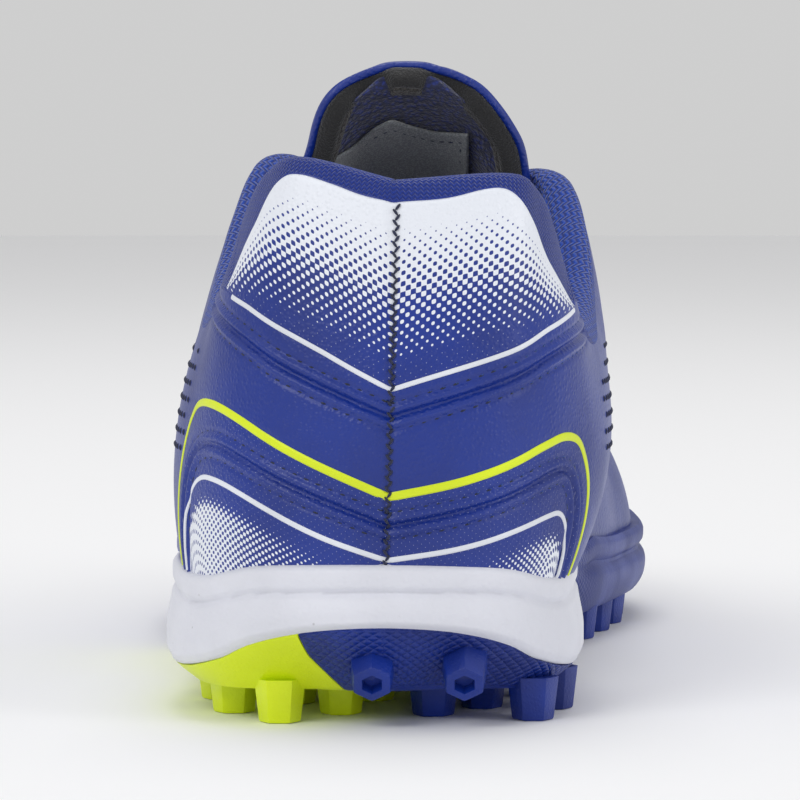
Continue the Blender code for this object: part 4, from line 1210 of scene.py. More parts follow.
class Finish:
    """A material being built, with its usual nodes at hand."""

    def __init__(self, name, roughness, **sockets):
        self.material = bpy.data.materials.new(name)
        self.material.use_nodes = True
        self.tree = self.material.node_tree
        self.shader = self.tree.nodes["Principled BSDF"]
        self.shader.inputs["Roughness"].default_value = roughness
        for key, value in sockets.items():
            self.shader.inputs[key.replace("_", " ")].default_value = value
        place = add_node(self.tree, "ShaderNodeTexCoord")
        self.place = place.outputs["Object"]
        self.uv = place.outputs["UV"]
        self.marks = use_group(self.tree, USE_MARKS, Place=self.place)

    def flat(self):
        scaled = add_node(self.tree, "ShaderNodeVectorMath", {0: self.uv, 3: FLAT_SCALE}, operation="SCALE")
        return scaled.outputs[0]

    def stored(self, key):
        return add_node(self.tree, "ShaderNodeAttribute", attribute_name=key).outputs["Fac"]

    def colour(self, value):
        if isinstance(value, bpy.types.NodeSocket):
            self.tree.links.new(value, self.shader.inputs["Base Color"])
        else:
            self.shader.inputs["Base Color"].default_value = value

    def cloudy(self, a, b, low=0.35, high=0.65):
        return mixed(self.tree, ramp(self.tree, self.marks["Cloud"], low, high), a, b)

    def bump(self, height, distance, under=None):
        inputs = {"Height": height, "Distance": distance * MILLIMETRE}
        if under is not None:
            inputs["Normal"] = under
        made = add_node(self.tree, "ShaderNodeBump", inputs).outputs[0]
        self.tree.links.new(made, self.shader.inputs["Normal"])
        return made

    def gloss(self, low, high):
        self.tree.links.new(
            ramp(self.tree, self.marks["Cloud"], 0.3, 0.7, low, high), self.shader.inputs["Roughness"]
        )


def leather(name, pitch=None):
    finish = Finish(name, 0.36, Coat_Weight=0.10, Coat_Roughness=0.30, Specular_IOR_Level=0.5)
    colour = finish.cloudy(ROYAL, ROYAL_DEEP, 0.2, 0.9)
    if pitch:
        tone = finish.stored("tone")
        ink = use_group(finish.tree, HALFTONE, Flat=finish.flat(), Pitch=pitch, Tone=tone)["Ink"]
        colour = mixed(finish.tree, ink, colour, PRINT_WHITE)
    finish.colour(colour)
    pebbles = use_group(finish.tree, GRAIN, Place=finish.place, Size=0.85)["Height"]
    finish.bump(pebbles, 0.075)
    finish.gloss(0.32, 0.44)
    return finish.material


def knit(name, wale, course, light, dark, depth=0.35):
    finish = Finish(name, 0.85, Sheen_Weight=0.25, Sheen_Roughness=0.5)
    loops = use_group(finish.tree, KNIT, Flat=finish.flat(), Wale=wale, Course=course)
    finish.colour(mixed(finish.tree, loops["Gap"], light, dark))
    finish.bump(loops["Height"], depth)
    return finish.material


def ink(name, colour, roughness=0.42):
    finish = Finish(name, roughness, Coat_Weight=0.15, Coat_Roughness=0.3)
    shade = tuple(channel * 0.88 for channel in colour[:3]) + (1,)
    finish.colour(finish.cloudy(colour, shade))
    finish.bump(use_group(finish.tree, GRAIN, Place=finish.place, Size=0.8)["Height"], 0.03)
    return finish.material


def thread(name, colour):
    finish = Finish(name, 0.55, Sheen_Weight=0.2)
    twist = add_node(
        finish.tree, "ShaderNodeTexNoise", {"Vector": finish.place, "Scale": 2600.0, "Detail": 1.0}
    )
    shade = tuple(channel * 0.5 for channel in colour[:3]) + (1,)
    finish.colour(mixed(finish.tree, ramp(finish.tree, twist.outputs[0], 0.35, 0.65), colour, shade))
    finish.bump(twist.outputs[0], 0.08)
    return finish.material


def foam_finish():
    finish = Finish("white_foam", 0.55, Specular_IOR_Level=0.4, Subsurface_Weight=0.05)
    finish.shader.inputs["Subsurface Radius"].default_value = (0.004, 0.004, 0.004)
    pale = finish.cloudy(FOAM_WHITE, tuple(c * 0.94 for c in FOAM_WHITE[:3]) + (1,))
    finish.colour(mixed(finish.tree, finish.marks["Dust"], pale, (0.55, 0.55, 0.60, 1)))
    skin_grain = use_group(finish.tree, GRAIN, Place=finish.place, Size=1.1)["Height"]
    finish.bump(skin_grain, 0.045)
    finish.gloss(0.46, 0.62)
    return finish.material


def rubber(name, colour, shade, lozenges):
    finish = Finish(name, 0.42, Specular_IOR_Level=0.5)
    finish.colour(finish.cloudy(colour, shade))
    fine = use_group(finish.tree, GRAIN, Place=finish.place, Size=0.6)["Height"]
    first = finish.bump(fine, 0.03)
    if lozenges:
        pattern = use_group(finish.tree, LOZENGES, Flat=finish.flat(), Pitch=2.1)["Height"]
        masked = sum_of(finish.tree, "MULTIPLY", pattern, finish.stored("texture"))
        finish.bump(masked, 0.28, under=first)
    finish.gloss(0.34, 0.50)
    return finish.material


def cloth(name, light, dark, cell, depth):
    """Mesh or felt without a direction: cells for holes, noise for fibres."""
    finish = Finish(name, 0.92, Sheen_Weight=0.3, Sheen_Roughness=0.6)
    cells = add_node(finish.tree, "ShaderNodeTexVoronoi", {"Vector": finish.place, "Scale": 1000.0 / cell})
    fibres = add_node(finish.tree, "ShaderNodeTexNoise", {"Vector": finish.place, "Scale": 2200.0 / cell})
    both = sum_of(finish.tree, "ADD", cells.outputs["Distance"], fibres.outputs[0])
    finish.colour(mixed(finish.tree, ramp(finish.tree, both, 0.55, 1.15), light, dark))
    finish.bump(both, depth)
    return finish.material


PLAIN_LEATHER = leather("royal_leather")
TAB_LEATHER = leather("royal_leather_tab_print", pitch=1.37)
CORNER_LEATHER = leather("royal_leather_corner_print", pitch=1.0)
COLLAR_KNIT = knit("collar_binding_knit", 0.95, 0.80, ROYAL, ROYAL_DEEP, 0.25)
LINING_KNIT = knit("ribbed_lining_knit", 1.9, 1.25, ROYAL_LIGHT, ROYAL_DEEP, 0.5)
NEON_INK = ink("neon_line", NEON)
WHITE_INK = ink("white_line", PRINT_WHITE)
NAVY_THREAD = thread("navy_thread", THREAD_NAVY)
# This thread is painted highlight: it colours the shine on the heel stitches
PAINTED_HIGHLIGHT_THREAD = thread("painted_highlight_thread", THREAD_PAINTED_HIGHLIGHT)
FOAM = foam_finish()
BLUE_RUBBER = rubber("blue_rubber", ROYAL, ROYAL_DEEP, True)
NEON_RUBBER = rubber("neon_rubber", NEON, (0.70, 0.84, 0.004, 1), False)
LINING_MESH = cloth("navy_mesh", (0.004, 0.020, 0.190, 1), (0.001, 0.005, 0.045, 1), 1.0, 0.30)
GREY_FELT = cloth("grey_felt", (0.075, 0.068, 0.062, 1), (0.022, 0.020, 0.019, 1), 0.7, 0.45)
BLACK_TAPE = cloth("black_binding", (0.006, 0.006, 0.008, 1), (0.002, 0.002, 0.003, 1), 0.45, 0.15)
LABEL_CLOTH = cloth("grey_label", (0.33, 0.35, 0.37, 1), (0.16, 0.17, 0.18, 1), 0.4, 0.10)
SOCK_CLOTH = cloth("sock_cloth", (0.003, 0.016, 0.150, 1), (0.001, 0.006, 0.060, 1), 0.8, 0.25)
LACE_WEAVE = knit("lace_weave", 0.75, 0.85, ROYAL, ROYAL_DEEP, 0.22)
# Dark painted shade for the hollows of the eyelets and of the pressed marks on the quarters
PAINTED_HOLLOW_SHADE = ink("painted_hollow_shade", (0.0012, 0.006, 0.045, 1), 0.6)
print(len(bpy.data.materials), "materials")

# %% [markdown]
# ## The upper
#
# The upper is one bag: leather outside, a padded knit roll at the collar, and knit lining inside. It is
# pulled from one grid whose columns run round the foot and whose rows climb the outside, go over the
# roll and come down the inside. The rows crowd round the upper groove, because a narrow groove needs
# points close together, and elsewhere they can be far apart.

# %% Columns and rows of the upper
FINE_STATIONS = np.concatenate(
    [
        np.arange(0, 0.21, 0.0022),
        np.arange(0.21, THROAT - 0.002, 0.0046),
        np.arange(THROAT, 1.0, 0.0062),
        [1.0],
    ]
)
RING_STATIONS = np.concatenate([FINE_STATIONS, -FINE_STATIONS[-2:0:-1], [0.0]])
LEATHER_ROWS = 78
GROOVE_ROWS = 28
KNIT_ROWS = 6
ROLL_ROWS = 9
LINING_ROWS = 22


def collar_height(stations):
    return np.array([foot_edge(a).z for a in stations])


def leather_end(stations):
    """Height where the leather stops and the knit of the collar starts."""
    u = np.abs(stations)
    printed = height_along(PRINT_TOP, stations) + 0.3
    below = 2.5 - 1.7 * smooth_step(0.38, 0.43, u)
    plain = collar_height(stations) - below
    height = printed + (plain - printed) * smooth_step(0.112, 0.150, u)
    return np.where(u >= THROAT, collar_height(stations), np.minimum(height, collar_height(stations) - 0.6))


def upper_rows(stations):
    end = leather_end(stations)
    u = np.abs(stations)
    groove = height_along(UPPER_GROOVE, stations)
    plain = 30 + 0.62 * (end - 30)
    groove = groove + (plain - groove) * smooth_step(0.125, 0.20, u)
    groove = np.minimum(groove, end - 4.6)
    foot = np.array([bed(on_outline(a).y) + GAP for a in stations])
    spare = (LEATHER_ROWS - GROOVE_ROWS) // 2
    parts = []
    for low, high, count in (
        (foot, groove - 4, spare),
        (groove - 4, groove + 4, GROOVE_ROWS),
        (groove + 4, end, spare + 1),
    ):
        share = np.arange(count) / (count - (1 if high is end else 0))
        parts.append(low[:, None] + (high - low)[:, None] * share)
    heights = np.maximum.accumulate(np.concatenate(parts, axis=1), axis=1)
    ups = ups_at_heights(stations, heights)
    ups[:, 0] = 0.0
    top = ups[:, -1:]
    ups[u >= THROAT, -1] = 1.0
    knit_rows = top + (1 - top) * np.arange(1, KNIT_ROWS + 1) / KNIT_ROWS
    return ups, knit_rows


def covered(stations, heights):
    """1 where the print panel or the counter lies over this leather."""
    tab = smooth_step(0.3, 1.0, heights - height_along(PRINT_EDGE, stations)[:, None])
    tab = tab * (np.abs(stations)[:, None] < 0.116)
    inside = (stations > YELLOW_LINE[0][0]) & (stations < YELLOW_LINE[-1][0])
    counter = smooth_step(0.3, 1.0, height_along(YELLOW_LINE, stations)[:, None] - heights)
    return np.maximum(tab, counter * inside[:, None])


def rolled_edge(points, normals, depth, bulge=0.34):
    """Points over the collar's padding, from its outer edge to its inner one."""
    run = np.roll(points, -1, axis=0) - np.roll(points, 1, axis=0)
    run[0] = points[1] - points[-2]
    run[-1] = run[0]
    upward = np.cross(normals, run)
    upward /= np.maximum(np.linalg.norm(upward, axis=-1, keepdims=True), 1e-6)
    share = np.arange(1, ROLL_ROWS + 1) / (ROLL_ROWS + 1)
    inward = (1 - np.cos(share * math.pi)) / 2
    lift = np.sin(share * math.pi) ** 0.8 * bulge
    inner = points[:, None] - normals[:, None] * (depth[:, None] * inward)[..., None]
    return inner + upward[:, None] * (depth[:, None] * lift)[..., None]


# %% Pull the upper
leather_ups, knit_ups = upper_rows(RING_STATIONS)
leather_points, leather_normals = wall_points(RING_STATIONS, leather_ups)
knit_points, knit_normals = wall_points(RING_STATIONS, knit_ups)
lining_ups = np.tile(np.linspace(1, 0, LINING_ROWS), (len(RING_STATIONS), 1))
lining_points, lining_normals = wall_points(RING_STATIONS, lining_ups)

mirror_of = {round(a, 6): i for i, a in reversed(list(enumerate(RING_STATIONS)))}
for normals, row in ((leather_normals, -1), (knit_normals, -1), (lining_normals, 0)):
    shared_row = normals[:, row].copy()
    for i, a in enumerate(RING_STATIONS):
        if abs(a) >= THROAT:
            other = mirror_of.get(round(-a, 6), i)
            both = shared_row[i] + shared_row[other]
            normals[i, row] = both / np.linalg.norm(both)
for i, a in enumerate(RING_STATIONS):
    if abs(a) >= THROAT:
        knit_normals[i, :] = knit_normals[i, -1]

outside = relief(RING_STATIONS, leather_points)
outside -= 0.65 * covered(RING_STATIONS, leather_points[..., 2])
knit_edge = np.where(np.abs(RING_STATIONS)[:, None] >= THROAT, 0.0, 1.0)
knit_out = outside[:, -1:] + (0.55 - outside[:, -1:]) * np.linspace(0.2, 1, KNIT_ROWS)
knit_out = np.where(knit_edge > 0, knit_out, outside[:, -1:])
leather_outer = leather_points + leather_normals * outside[..., None]
knit_outer = knit_points + knit_normals * knit_out[..., None]
depth = wall_depth(RING_STATIONS, lining_ups)
lining_inner = lining_points - lining_normals * depth[..., None]
lining_inner[:, -1, 2] = [bed(p[1]) + GAP for p in lining_inner[:, -1]]
roll_start = knit_outer[:, -1]
roll = rolled_edge(roll_start, knit_normals[:, -1], depth[:, 0] + 0.55)
upper_points = np.concatenate([leather_outer, knit_outer, roll, lining_inner, leather_outer[:, :1]], axis=1)

step_up = np.linalg.norm(np.diff(upper_points, axis=1), axis=-1)
climbed = np.concatenate([np.zeros((len(RING_STATIONS), 1)), np.cumsum(step_up, axis=1)], axis=1)
around = np.concatenate([[0], np.cumsum(np.linalg.norm(np.diff(leather_outer[:, 20], axis=0), axis=1))])
upper_flat = np.stack([np.broadcast_to(around[:, None], climbed.shape), climbed], axis=-1) / FLAT_SCALE
upper = pull_grid("upper_shell", upper_points, flat=upper_flat)

first_roll = LEATHER_ROWS + 1 + KNIT_ROWS - 1
last_roll = first_roll + ROLL_ROWS + 1
face_rows = upper_points.shape[1] - 1
ridge_column = np.abs(RING_STATIONS) >= THROAT
row_of = np.tile(np.arange(face_rows), len(RING_STATIONS) - 1)
column_of = np.repeat(np.arange(len(RING_STATIONS) - 1), face_rows)
material_of = np.where(row_of < LEATHER_ROWS, 0, np.where(row_of < last_roll + 12, 1, 2))
material_of = np.where(row_of == face_rows - 1, 2, material_of)
collar_out = (row_of >= LEATHER_ROWS) & (row_of < first_roll + 3)
material_of = np.where(collar_out & (np.abs(RING_STATIONS[column_of]) < 0.17), 3, material_of)
both_on_ridge = ridge_column[:-1] & ridge_column[1:]
across_ridge = both_on_ridge[column_of] & (row_of >= LEATHER_ROWS) & (row_of < last_roll)
for finish in (PLAIN_LEATHER, LINING_KNIT, LINING_MESH, COLLAR_KNIT):
    upper.data.materials.append(finish)
upper.data.polygons.foreach_set("material_index", material_of.astype(np.int32))
only(upper)
upper.data.polygons.foreach_set("select", across_ridge)
upper.data.update()
bpy.ops.object.mode_set(mode="EDIT")
bpy.ops.mesh.select_mode(type="FACE")
bpy.ops.object.mode_set(mode="OBJECT")
upper.data.polygons.foreach_set("select", across_ridge)
bpy.ops.object.mode_set(mode="EDIT")
bpy.ops.mesh.delete(type="FACE")
bpy.ops.object.mode_set(mode="OBJECT")
weld(upper, 0.03)
settle_piece(upper, "upper", "upper")

# %% [markdown]
# ## The print panel and the counter
#
# Two panels lie over the heel. The upper one carries the dotted print and ends on the thin white line,
# and the lower one runs from the thick yellow line down behind the foam rim. Both are cut from the
# upper's own surface, pulled as grids between two curves, and given the thickness of coated leather. The
# tone of the print is stored on the points: full white at the top, fading to separate dots.

# %% Panels of the heel
PANEL = 0.9


def panel(name, stations, low, high, rows, tone, finish, slot_name, bottom_open=False):
    share = np.linspace(0, 1, rows)
    heights = low[:, None] + (high - low)[:, None] * share
    ups = ups_at_heights(stations, heights)
    points, normals = wall_points(stations, ups)
    edge = high[:, None] - heights
    if not bottom_open:
        edge = np.minimum(edge, heights - low[:, None])
    sink = 0.5 * (1 - smooth_step(-0.1, 0.55, edge))
    out = relief(stations, points) - sink
    flat = flat_measure(stations, points)
    flat[..., 1] -= height_along(PRINT_EDGE if name == "heel_print_panel" else WHITE_LINE, stations)[:, None]
    made = pull_grid(
        name,
        points + normals * out[..., None],
        flat=flat / FLAT_SCALE,
        stored={"tone": tone(stations[:, None], heights, share[None, :])},
    )
    made.data.materials.append(finish)
    thicken(made, PANEL)
    return settle_piece(made, slot_name, slot_name)


def tab_tone(stations, heights, share):
    tone = 0.10 + 0.98 * np.clip((share - 0.17) / 0.74, 0, 1) ** 1.15
    return np.where(share > 0.16, tone, 0.0)


def corner_tone(stations, heights, share):
    below = height_along(WHITE_LINE, np.broadcast_to(stations, heights.shape)) - heights
    lateral = np.clip((-stations - 0.034) / 0.105, 0, 1)
    medial = np.clip((stations - 0.060) / 0.075, 0, 1)
    spread = np.maximum(lateral, medial)
    tone = 0.10 + 0.72 * spread
    within = (below > 3.4) & (spread > 0)
    return np.where(within, tone * smooth_step(3.0, 6.0, below), 0.0)


tab_stations = np.linspace(-0.1085, 0.1165, 250)
tab_low = height_along(PRINT_EDGE, tab_stations)
tab_high = np.maximum(height_along(PRINT_TOP, tab_stations), tab_low + 0.2)
heel_tab = panel(
    "heel_print_panel", tab_stations, tab_low, tab_high, 84, tab_tone, TAB_LEATHER, "heel_tab"
)

counter_stations = np.linspace(-0.1670, 0.1435, 330)
rim_line = np.array([rim_top(skin(a, 0.15).y) - 1.8 for a in counter_stations])
counter_high = np.maximum(height_along(YELLOW_LINE, counter_stations), rim_line + 0.2)
heel_counter = panel(
    "heel_counter_panel",
    counter_stations,
    rim_line,
    counter_high,
    74,
    corner_tone,
    CORNER_LEATHER,
    "heel_counter",
    bottom_open=True,
)

# %% [markdown]
# ## Printed lines
#
# The white and yellow lines are a thick ink that stands a little proud of the leather. As strips of
# their own they keep clean edges at any distance. Each strip is a grid that follows its curve, with a
# low crown across it.

# %% Lines of thick ink
STRIP_SECTION = (
    *((-1.0, -0.22), (-0.93, 0.06), (-0.5, 0.13), (0.0, 0.15)),
    *((0.5, 0.13), (0.93, 0.06), (1.0, -0.22)),
)


def wall_walk(rows, step=0.5):
    """Points, normals and directions across a curve of the heel, with the leather's relief under it."""
    curve = smooth_curve(rows)
    places, _ = even_walk(np.column_stack([curve[:, 0] * 330, curve[:, 1]]), step)
    stations = places[:, 0] / 330
    points, normals = on_wall(np.column_stack([stations, places[:, 1]]))
    out = relief(stations, points[:, None])[:, 0]
    points = points + normals * out[:, None]
    run = np.gradient(points, axis=0)
    run = unit(run)
    across = np.cross(normals, run)
    return stations, points, normals, run, across


def ink_strip(name, rows, width, finish, slot_name):
    stations, points, normals, run, across = wall_walk(rows)
    taper = np.interp(np.abs(stations), (0, 0.11, 0.16), (1, 1, 0.62))
    section = np.array(STRIP_SECTION)
    wide = across[:, None] * (section[None, :, :1] * (width / 2 * taper)[:, None, None])
    made = pull_grid(name, points[:, None] + wide + normals[:, None] * section[None, :, 1:])
    made.data.materials.append(finish)
    return settle_piece(made, slot_name)


ink_strip("white_line_upper", PRINT_EDGE[1:-1], 0.95, WHITE_INK, "heel_tab")
ink_strip("yellow_line", YELLOW_LINE, 1.65, NEON_INK, "heel_counter")
ink_strip("white_line_lower", WHITE_LINE, 1.05, WHITE_INK, "heel_counter")

# %% [markdown]
# ## Stitches
#
# Every groove has a row of stitches on each side, and the two halves of the heel are joined by a
# zigzag down the back. One stitch is modelled from a small sphere: stretched, flattened where it lies on
# the leather, and sunk at its ends. Every other stitch is a copy, turned along its row and joined into
# one piece per seam.

# %% One stitch and its copies
STITCH_PITCH = 2.45
STITCH_LENGTH = 1.75
STITCH_WIDTH = 0.55
STITCH_SLANT = 0.16


def model_stitch():
    deselect()
    bpy.ops.mesh.primitive_uv_sphere_add(segments=8, ring_count=6, radius=0.5)
    bpy.ops.object.mode_set(mode="EDIT")
    bpy.ops.mesh.select_all(action="SELECT")
    bpy.ops.transform.rotate(value=math.pi / 2, orient_axis="Y", center_override=(0, 0, 0))
    bpy.ops.object.mode_set(mode="OBJECT")
    ball = bpy.context.active_object
    points = np.array([tuple(v.co) for v in ball.data.vertices])
    faces = [tuple(f.vertices) for f in ball.data.polygons]
    bpy.data.objects.remove(ball)
    bend = 1 - (2 * points[:, 0]) ** 2
    return np.column_stack([points[:, 0], points[:, 1], points[:, 2] + 0.25 * bend]), faces


STITCH_POINTS, STITCH_FACES = model_stitch()


def sew(name, rows_of_stitches, finish, slot_name):
    """One piece from stitches given as centre, direction, outward normal, length and width."""
    all_points = []
    all_faces = []
    for centre, along, out, length, width in rows_of_stitches:
        along = along / np.linalg.norm(along)
        side = np.cross(out, along)
        side /= np.linalg.norm(side)
        up = np.cross(along, side)
        base = len(all_points) * len(STITCH_POINTS)
        scaled = STITCH_POINTS * (length, width, width)
        all_points.append(centre + scaled @ np.array((along, side, up)))
        all_faces += [tuple(base + v for v in face) for face in STITCH_FACES]
    return settle_piece(copies(name, np.concatenate(all_points), all_faces, finish), slot_name)


def row_of_stitches(points, normals, run, across, aside):
    line = points + across * aside
    walk, _ = even_walk(np.column_stack([line, normals, run]), STITCH_PITCH)
    out = []
    for k in range(len(walk) - 1):
        middle = (walk[k] + walk[k + 1]) / 2
        normal = middle[3:6] / np.linalg.norm(middle[3:6])
        along = middle[6:9] + np.cross(normal, middle[6:9]) * STITCH_SLANT
        out.append((middle[:3] + normal * 0.02, along, normal, STITCH_LENGTH, STITCH_WIDTH))
    return out


seam_stitches = []
for rows in (UPPER_GROOVE[1:-1], LOWER_GROOVE[1:-1]):
    _, points, normals, run, across = wall_walk(rows)
    for aside in (STITCHES_ASIDE, -STITCHES_ASIDE):
        seam_stitches += row_of_stitches(points, normals, run, across, aside)
sew("heel_stitches", seam_stitches, NAVY_THREAD, "upper")

# Painted highlights: smaller copies of each heel stitch in a lighter blue, set a little outwards, sideways
# and upwards, paint the shine on the thread
light = [
    (c + n * 0.10 + np.array((0.12, 0, 0.10)), d, n, length * 0.62, width * 0.62)
    for c, d, n, length, width in seam_stitches
]
sew("heel_stitch_highlights", light, PAINTED_HIGHLIGHT_THREAD, "upper")

zigzag = []
seam_heights = np.arange(30.5, 95.0, 0.95)
seam_places = np.column_stack([np.full(len(seam_heights), 0.0008), seam_heights])
seam_points, seam_normals = on_wall(seam_places)
seam_out = relief(seam_places[:, 0], seam_points[:, None])[:, 0]
for k, (point, normal) in enumerate(zip(seam_points, seam_normals)):
    lean = 1 if k % 2 else -1
    along = np.array((0.75 * lean, 0.0, 1.0))
    side = np.array((0.22 * lean, 0, 0))
    zigzag.append((point + normal * (seam_out[k] + 0.15) + side, along, normal, 1.45, 0.55))
sew("back_seam", zigzag, NAVY_THREAD, "upper")

# %% [markdown]
# ## The foam wedge
#
# The white midsole is one moulded piece of foam. From behind it shows a rim that hugs the leather, a
# soft crease, and a bulge that grows towards the sides. Each station round the sole has the same
# profile, so the foam is one grid: columns round the foot, rows from under the upper, over the rim and
# down the wall to the rubber. The forward part hides inside the rubber cup, as it does on the real shoe.

# %% Rings round the sole
SOLE_STATIONS = np.concatenate([np.linspace(0, 1, 331), -np.linspace(1, 0, 331)[1:]])


def sole_ring(inset, height):
    out = []
    for along in SOLE_STATIONS:
        point = plan(along, inset(along))
        out.append((point.x, point.y, height(point.y)))
    return np.array(out)


def side_ring(share, low_at, high_at, inset):
    """The ring at a share of the way up a side wall."""
    ring = []
    for along in SOLE_STATIONS:
        y = on_outline(along).y
        low, high = low_at(y), high_at(y)
        point = plan(along, inset(share, along, y, high - low))
        ring.append((point.x, point.y, low + (high - low) * share))
    return np.array(ring)


def closed_ends(rings):
    """Add the middle of the first and the last ring, so that the grid closes on itself."""
    first, last = [(ring + ring[::-1]) / 2 for ring in (rings[0], rings[-1])]
    return np.stack([first, *rings, last], axis=1)


def pull_rings(name, rings, finish, stored=None):
    """A closed solid from rings that run from its bottom middle up the outside to its top middle."""
    points = closed_ends(rings)
    leg = np.linalg.norm(np.diff(points[:, points.shape[1] // 2], axis=0), axis=1)
    around = np.concatenate([[0], np.cumsum(leg)])
    flat = np.stack([np.broadcast_to(around[:, None], points.shape[:2]), points[..., 2]], axis=-1)
    made = pull_grid(name, points, flat=flat / FLAT_SCALE, stored=stored)
    made.data.materials.append(finish)
    weld(made, 0.01)
    bpy.ops.object.mode_set(mode="EDIT")
    bpy.ops.mesh.select_all(action="SELECT")
    bpy.ops.mesh.dissolve_degenerate(threshold=1e-6)
    bpy.ops.object.mode_set(mode="OBJECT")
    return made


# %% Foam profile
CREASE_DOWN = 5.2
FOAM_ROWS = 30


def foam_low(y):
    hidden = 1 - ease(0.49, 0.54, y / LENGTH)
    return min(sole_wall_top(y), bed(y) + 0.74 * RIM_HEIGHT * hidden) + SLACK * 0.4


def foam_inset(share, along, y, span):
    """How far in the foam's wall is, at a share of the way up from the rubber to the rim."""
    down = (1 - share) * span
    crease = min(CREASE_DOWN, 0.5 * span)
    rim = 1.15 + 0.35 * ((down / crease) - 0.5) ** 2 * 4 if down < crease else 0.0
    round_top = 1.4 * max(0.0, 1 - down / 1.3) ** 2
    dip = 0.75 * math.exp(-(((down - crease) / 0.62) ** 2))
    lower = (down - crease) / max(span - crease, 0.1)
    bulge = 1.15 * (1 - ease(0.0, 0.62, lower)) + 0.8 * ease(0.86, 1.0, lower) if lower > 0 else 0.0
    visible = (rim if lower <= 0 else bulge) + round_top + dip
    behind = visible + (3.1 - visible) * ease(0.44, 0.49, y / LENGTH)
    return behind + (3.7 - behind) * ease(0.49, 0.54, y / LENGTH)


foam_rings = [
    sole_ring(lambda a: undercut(a) + LEDGE_SLOPE + SLACK, lambda y: plate_top(y) + SLACK),
    sole_ring(lambda a: ledge(a) + SLACK, foam_low),
]
for share in np.linspace(0, 1, FOAM_ROWS):
    foam_rings.append(side_ring(share, foam_low, rim_top, foam_inset))
for down in (0.1, 1.2):
    rim_heights = np.array([[rim_top(on_outline(a).y) - down] for a in SOLE_STATIONS])
    rim_ups = ups_at_heights(SOLE_STATIONS, rim_heights)
    rim_points, rim_normals = wall_points(SOLE_STATIONS, rim_ups)
    foam_rings.append(rim_points[:, 0] + rim_normals[:, 0] * (1.0 - down))
foam_rings.append(sole_ring(lambda a: feather(a) + 1.0, lambda y: bed(y) - 0.4))
midsole = pull_rings("foam_midsole", foam_rings, FOAM)
settle_piece(midsole, "midsole", "midsole")

# %% [markdown]
# ## The rubber sole
#
# The outsole is a plate with a low wall round the heel that climbs into a cup round the forefoot. Under
# it stand the hexagonal studs. The lateral half of the heel is moulded in neon rubber, which meets the blue
# along a curved parting. The plate is again a grid of rings, cut in two along the parting's plan, and one
# stud is modelled and copied to every place.

# %% Wall and plate
WALL_ROWS = 22


def rubber_inset(share, along, y, span):
    """How far in the rubber wall is, at a share of the way up from the plate to its top edge."""
    cup = cup_share(y)
    heel = blend(1.0, undercut(along), (1 - share) ** 1.15) + 0.5 * max(0.0, 1 - (1 - share) / 0.06) ** 2
    groove = 1.25 * math.exp(-(((share - 0.66) / 0.075) ** 2))
    lower = 0.9 * (1 - share / 0.30) ** 2 * 2.6 if share < 0.30 else 0.0
    upper_lip = 0.9 * max(0.0, 1 - (1 - share) / 0.10) ** 2
    swell = 0.45 * (1 - math.exp(-(((share - 0.42) / 0.16) ** 2)))
    return blend(heel, groove + lower + upper_lip + swell, cup)


rubber_rings = [
    sole_ring(lambda a: undercut(a) + 1.4, plate_bottom),
    sole_ring(lambda a: undercut(a) + 0.5, lambda y: plate_bottom(y) + 0.05),
]
for share in np.linspace(0.03, 1, WALL_ROWS):
    rubber_rings.append(side_ring(share, plate_bottom, sole_wall_top, rubber_inset))
lip_heights = np.array([[sole_wall_top(on_outline(a).y) - 0.2] for a in SOLE_STATIONS])
lip_points, lip_normals = wall_points(SOLE_STATIONS, ups_at_heights(SOLE_STATIONS, lip_heights))
lip = lip_points[:, 0] + lip_normals[:, 0] * 0.2
wrapped = np.array([cup_share(on_outline(a).y) for a in SOLE_STATIONS])[:, None]
ledge_ring = sole_ring(ledge, sole_wall_top)
rubber_rings.append(ledge_ring + (lip - ledge_ring) * smooth_step(0.3, 1.0, wrapped))
rubber_rings.append(sole_ring(lambda a: undercut(a) + LEDGE_SLOPE, plate_top))
row_count = len(rubber_rings) + 2
textured = np.zeros((len(SOLE_STATIONS), row_count))
textured[:, 5 : row_count - 4] = 1.0
textured *= 1 - wrapped
outsole = pull_rings("rubber_outsole", rubber_rings, BLUE_RUBBER, stored={"texture": textured})

# %% The parting between blue and neon
POD_DEPTH = 130


def pod_prism(name, grow):
    corners = [Vector((row.x * HEEL_WIDTH, row.y * LENGTH)) for row in POD]
    count = len(corners)
    outline = []
    for i, corner in enumerate(corners):
        before = (corner - corners[i - 1]).normalized()
        after = (corners[(i + 1) % count] - corner).normalized()
        normal = Vector((before.y + after.y, -before.x - after.x)).normalized()
        lean = max(normal.dot(Vector((before.y, -before.x))), 0.5)
        outline.append(corner + normal * grow / lean)
    deselect()
    bpy.ops.mesh.primitive_circle_add(vertices=count, fill_type="NGON")
    prism = bpy.context.active_object
    prism.name = name
    for vertex, place in zip(prism.data.vertices, outline):
        x, y = place
        vertex.co = (Vector((x, y, -20)) + Vector(CENTRE_SHIFT)) * MILLIMETRE
    bpy.ops.object.mode_set(mode="EDIT")
    bpy.ops.mesh.select_all(action="SELECT")
    bpy.ops.mesh.extrude_region_move(TRANSFORM_OT_translate={"value": (0, 0, POD_DEPTH * MILLIMETRE)})
    bpy.ops.object.mode_set(mode="OBJECT")
    turn_faces_out()
    return prism


def cut_by(piece, cutter, operation):
    only(piece)
    change = piece.modifiers.new("cut", "BOOLEAN")
    change.operation = operation
    change.solver = "MANIFOLD"
    change.object = cutter
    bpy.ops.object.modifier_apply(modifier=change.name)
    bpy.data.objects.remove(cutter)


lateral = outsole.copy()
lateral.data = outsole.data.copy()
lateral.name = "rubber_outsole_lateral"
bpy.context.scene.collection.objects.link(lateral)
lateral.data.materials[0] = NEON_RUBBER
cut_by(lateral, pod_prism("parting", 0), "INTERSECT")
cut_by(outsole, pod_prism("parting", 0.25), "DIFFERENCE")
print("rubber faces", len(outsole.data.polygons), len(lateral.data.polygons))

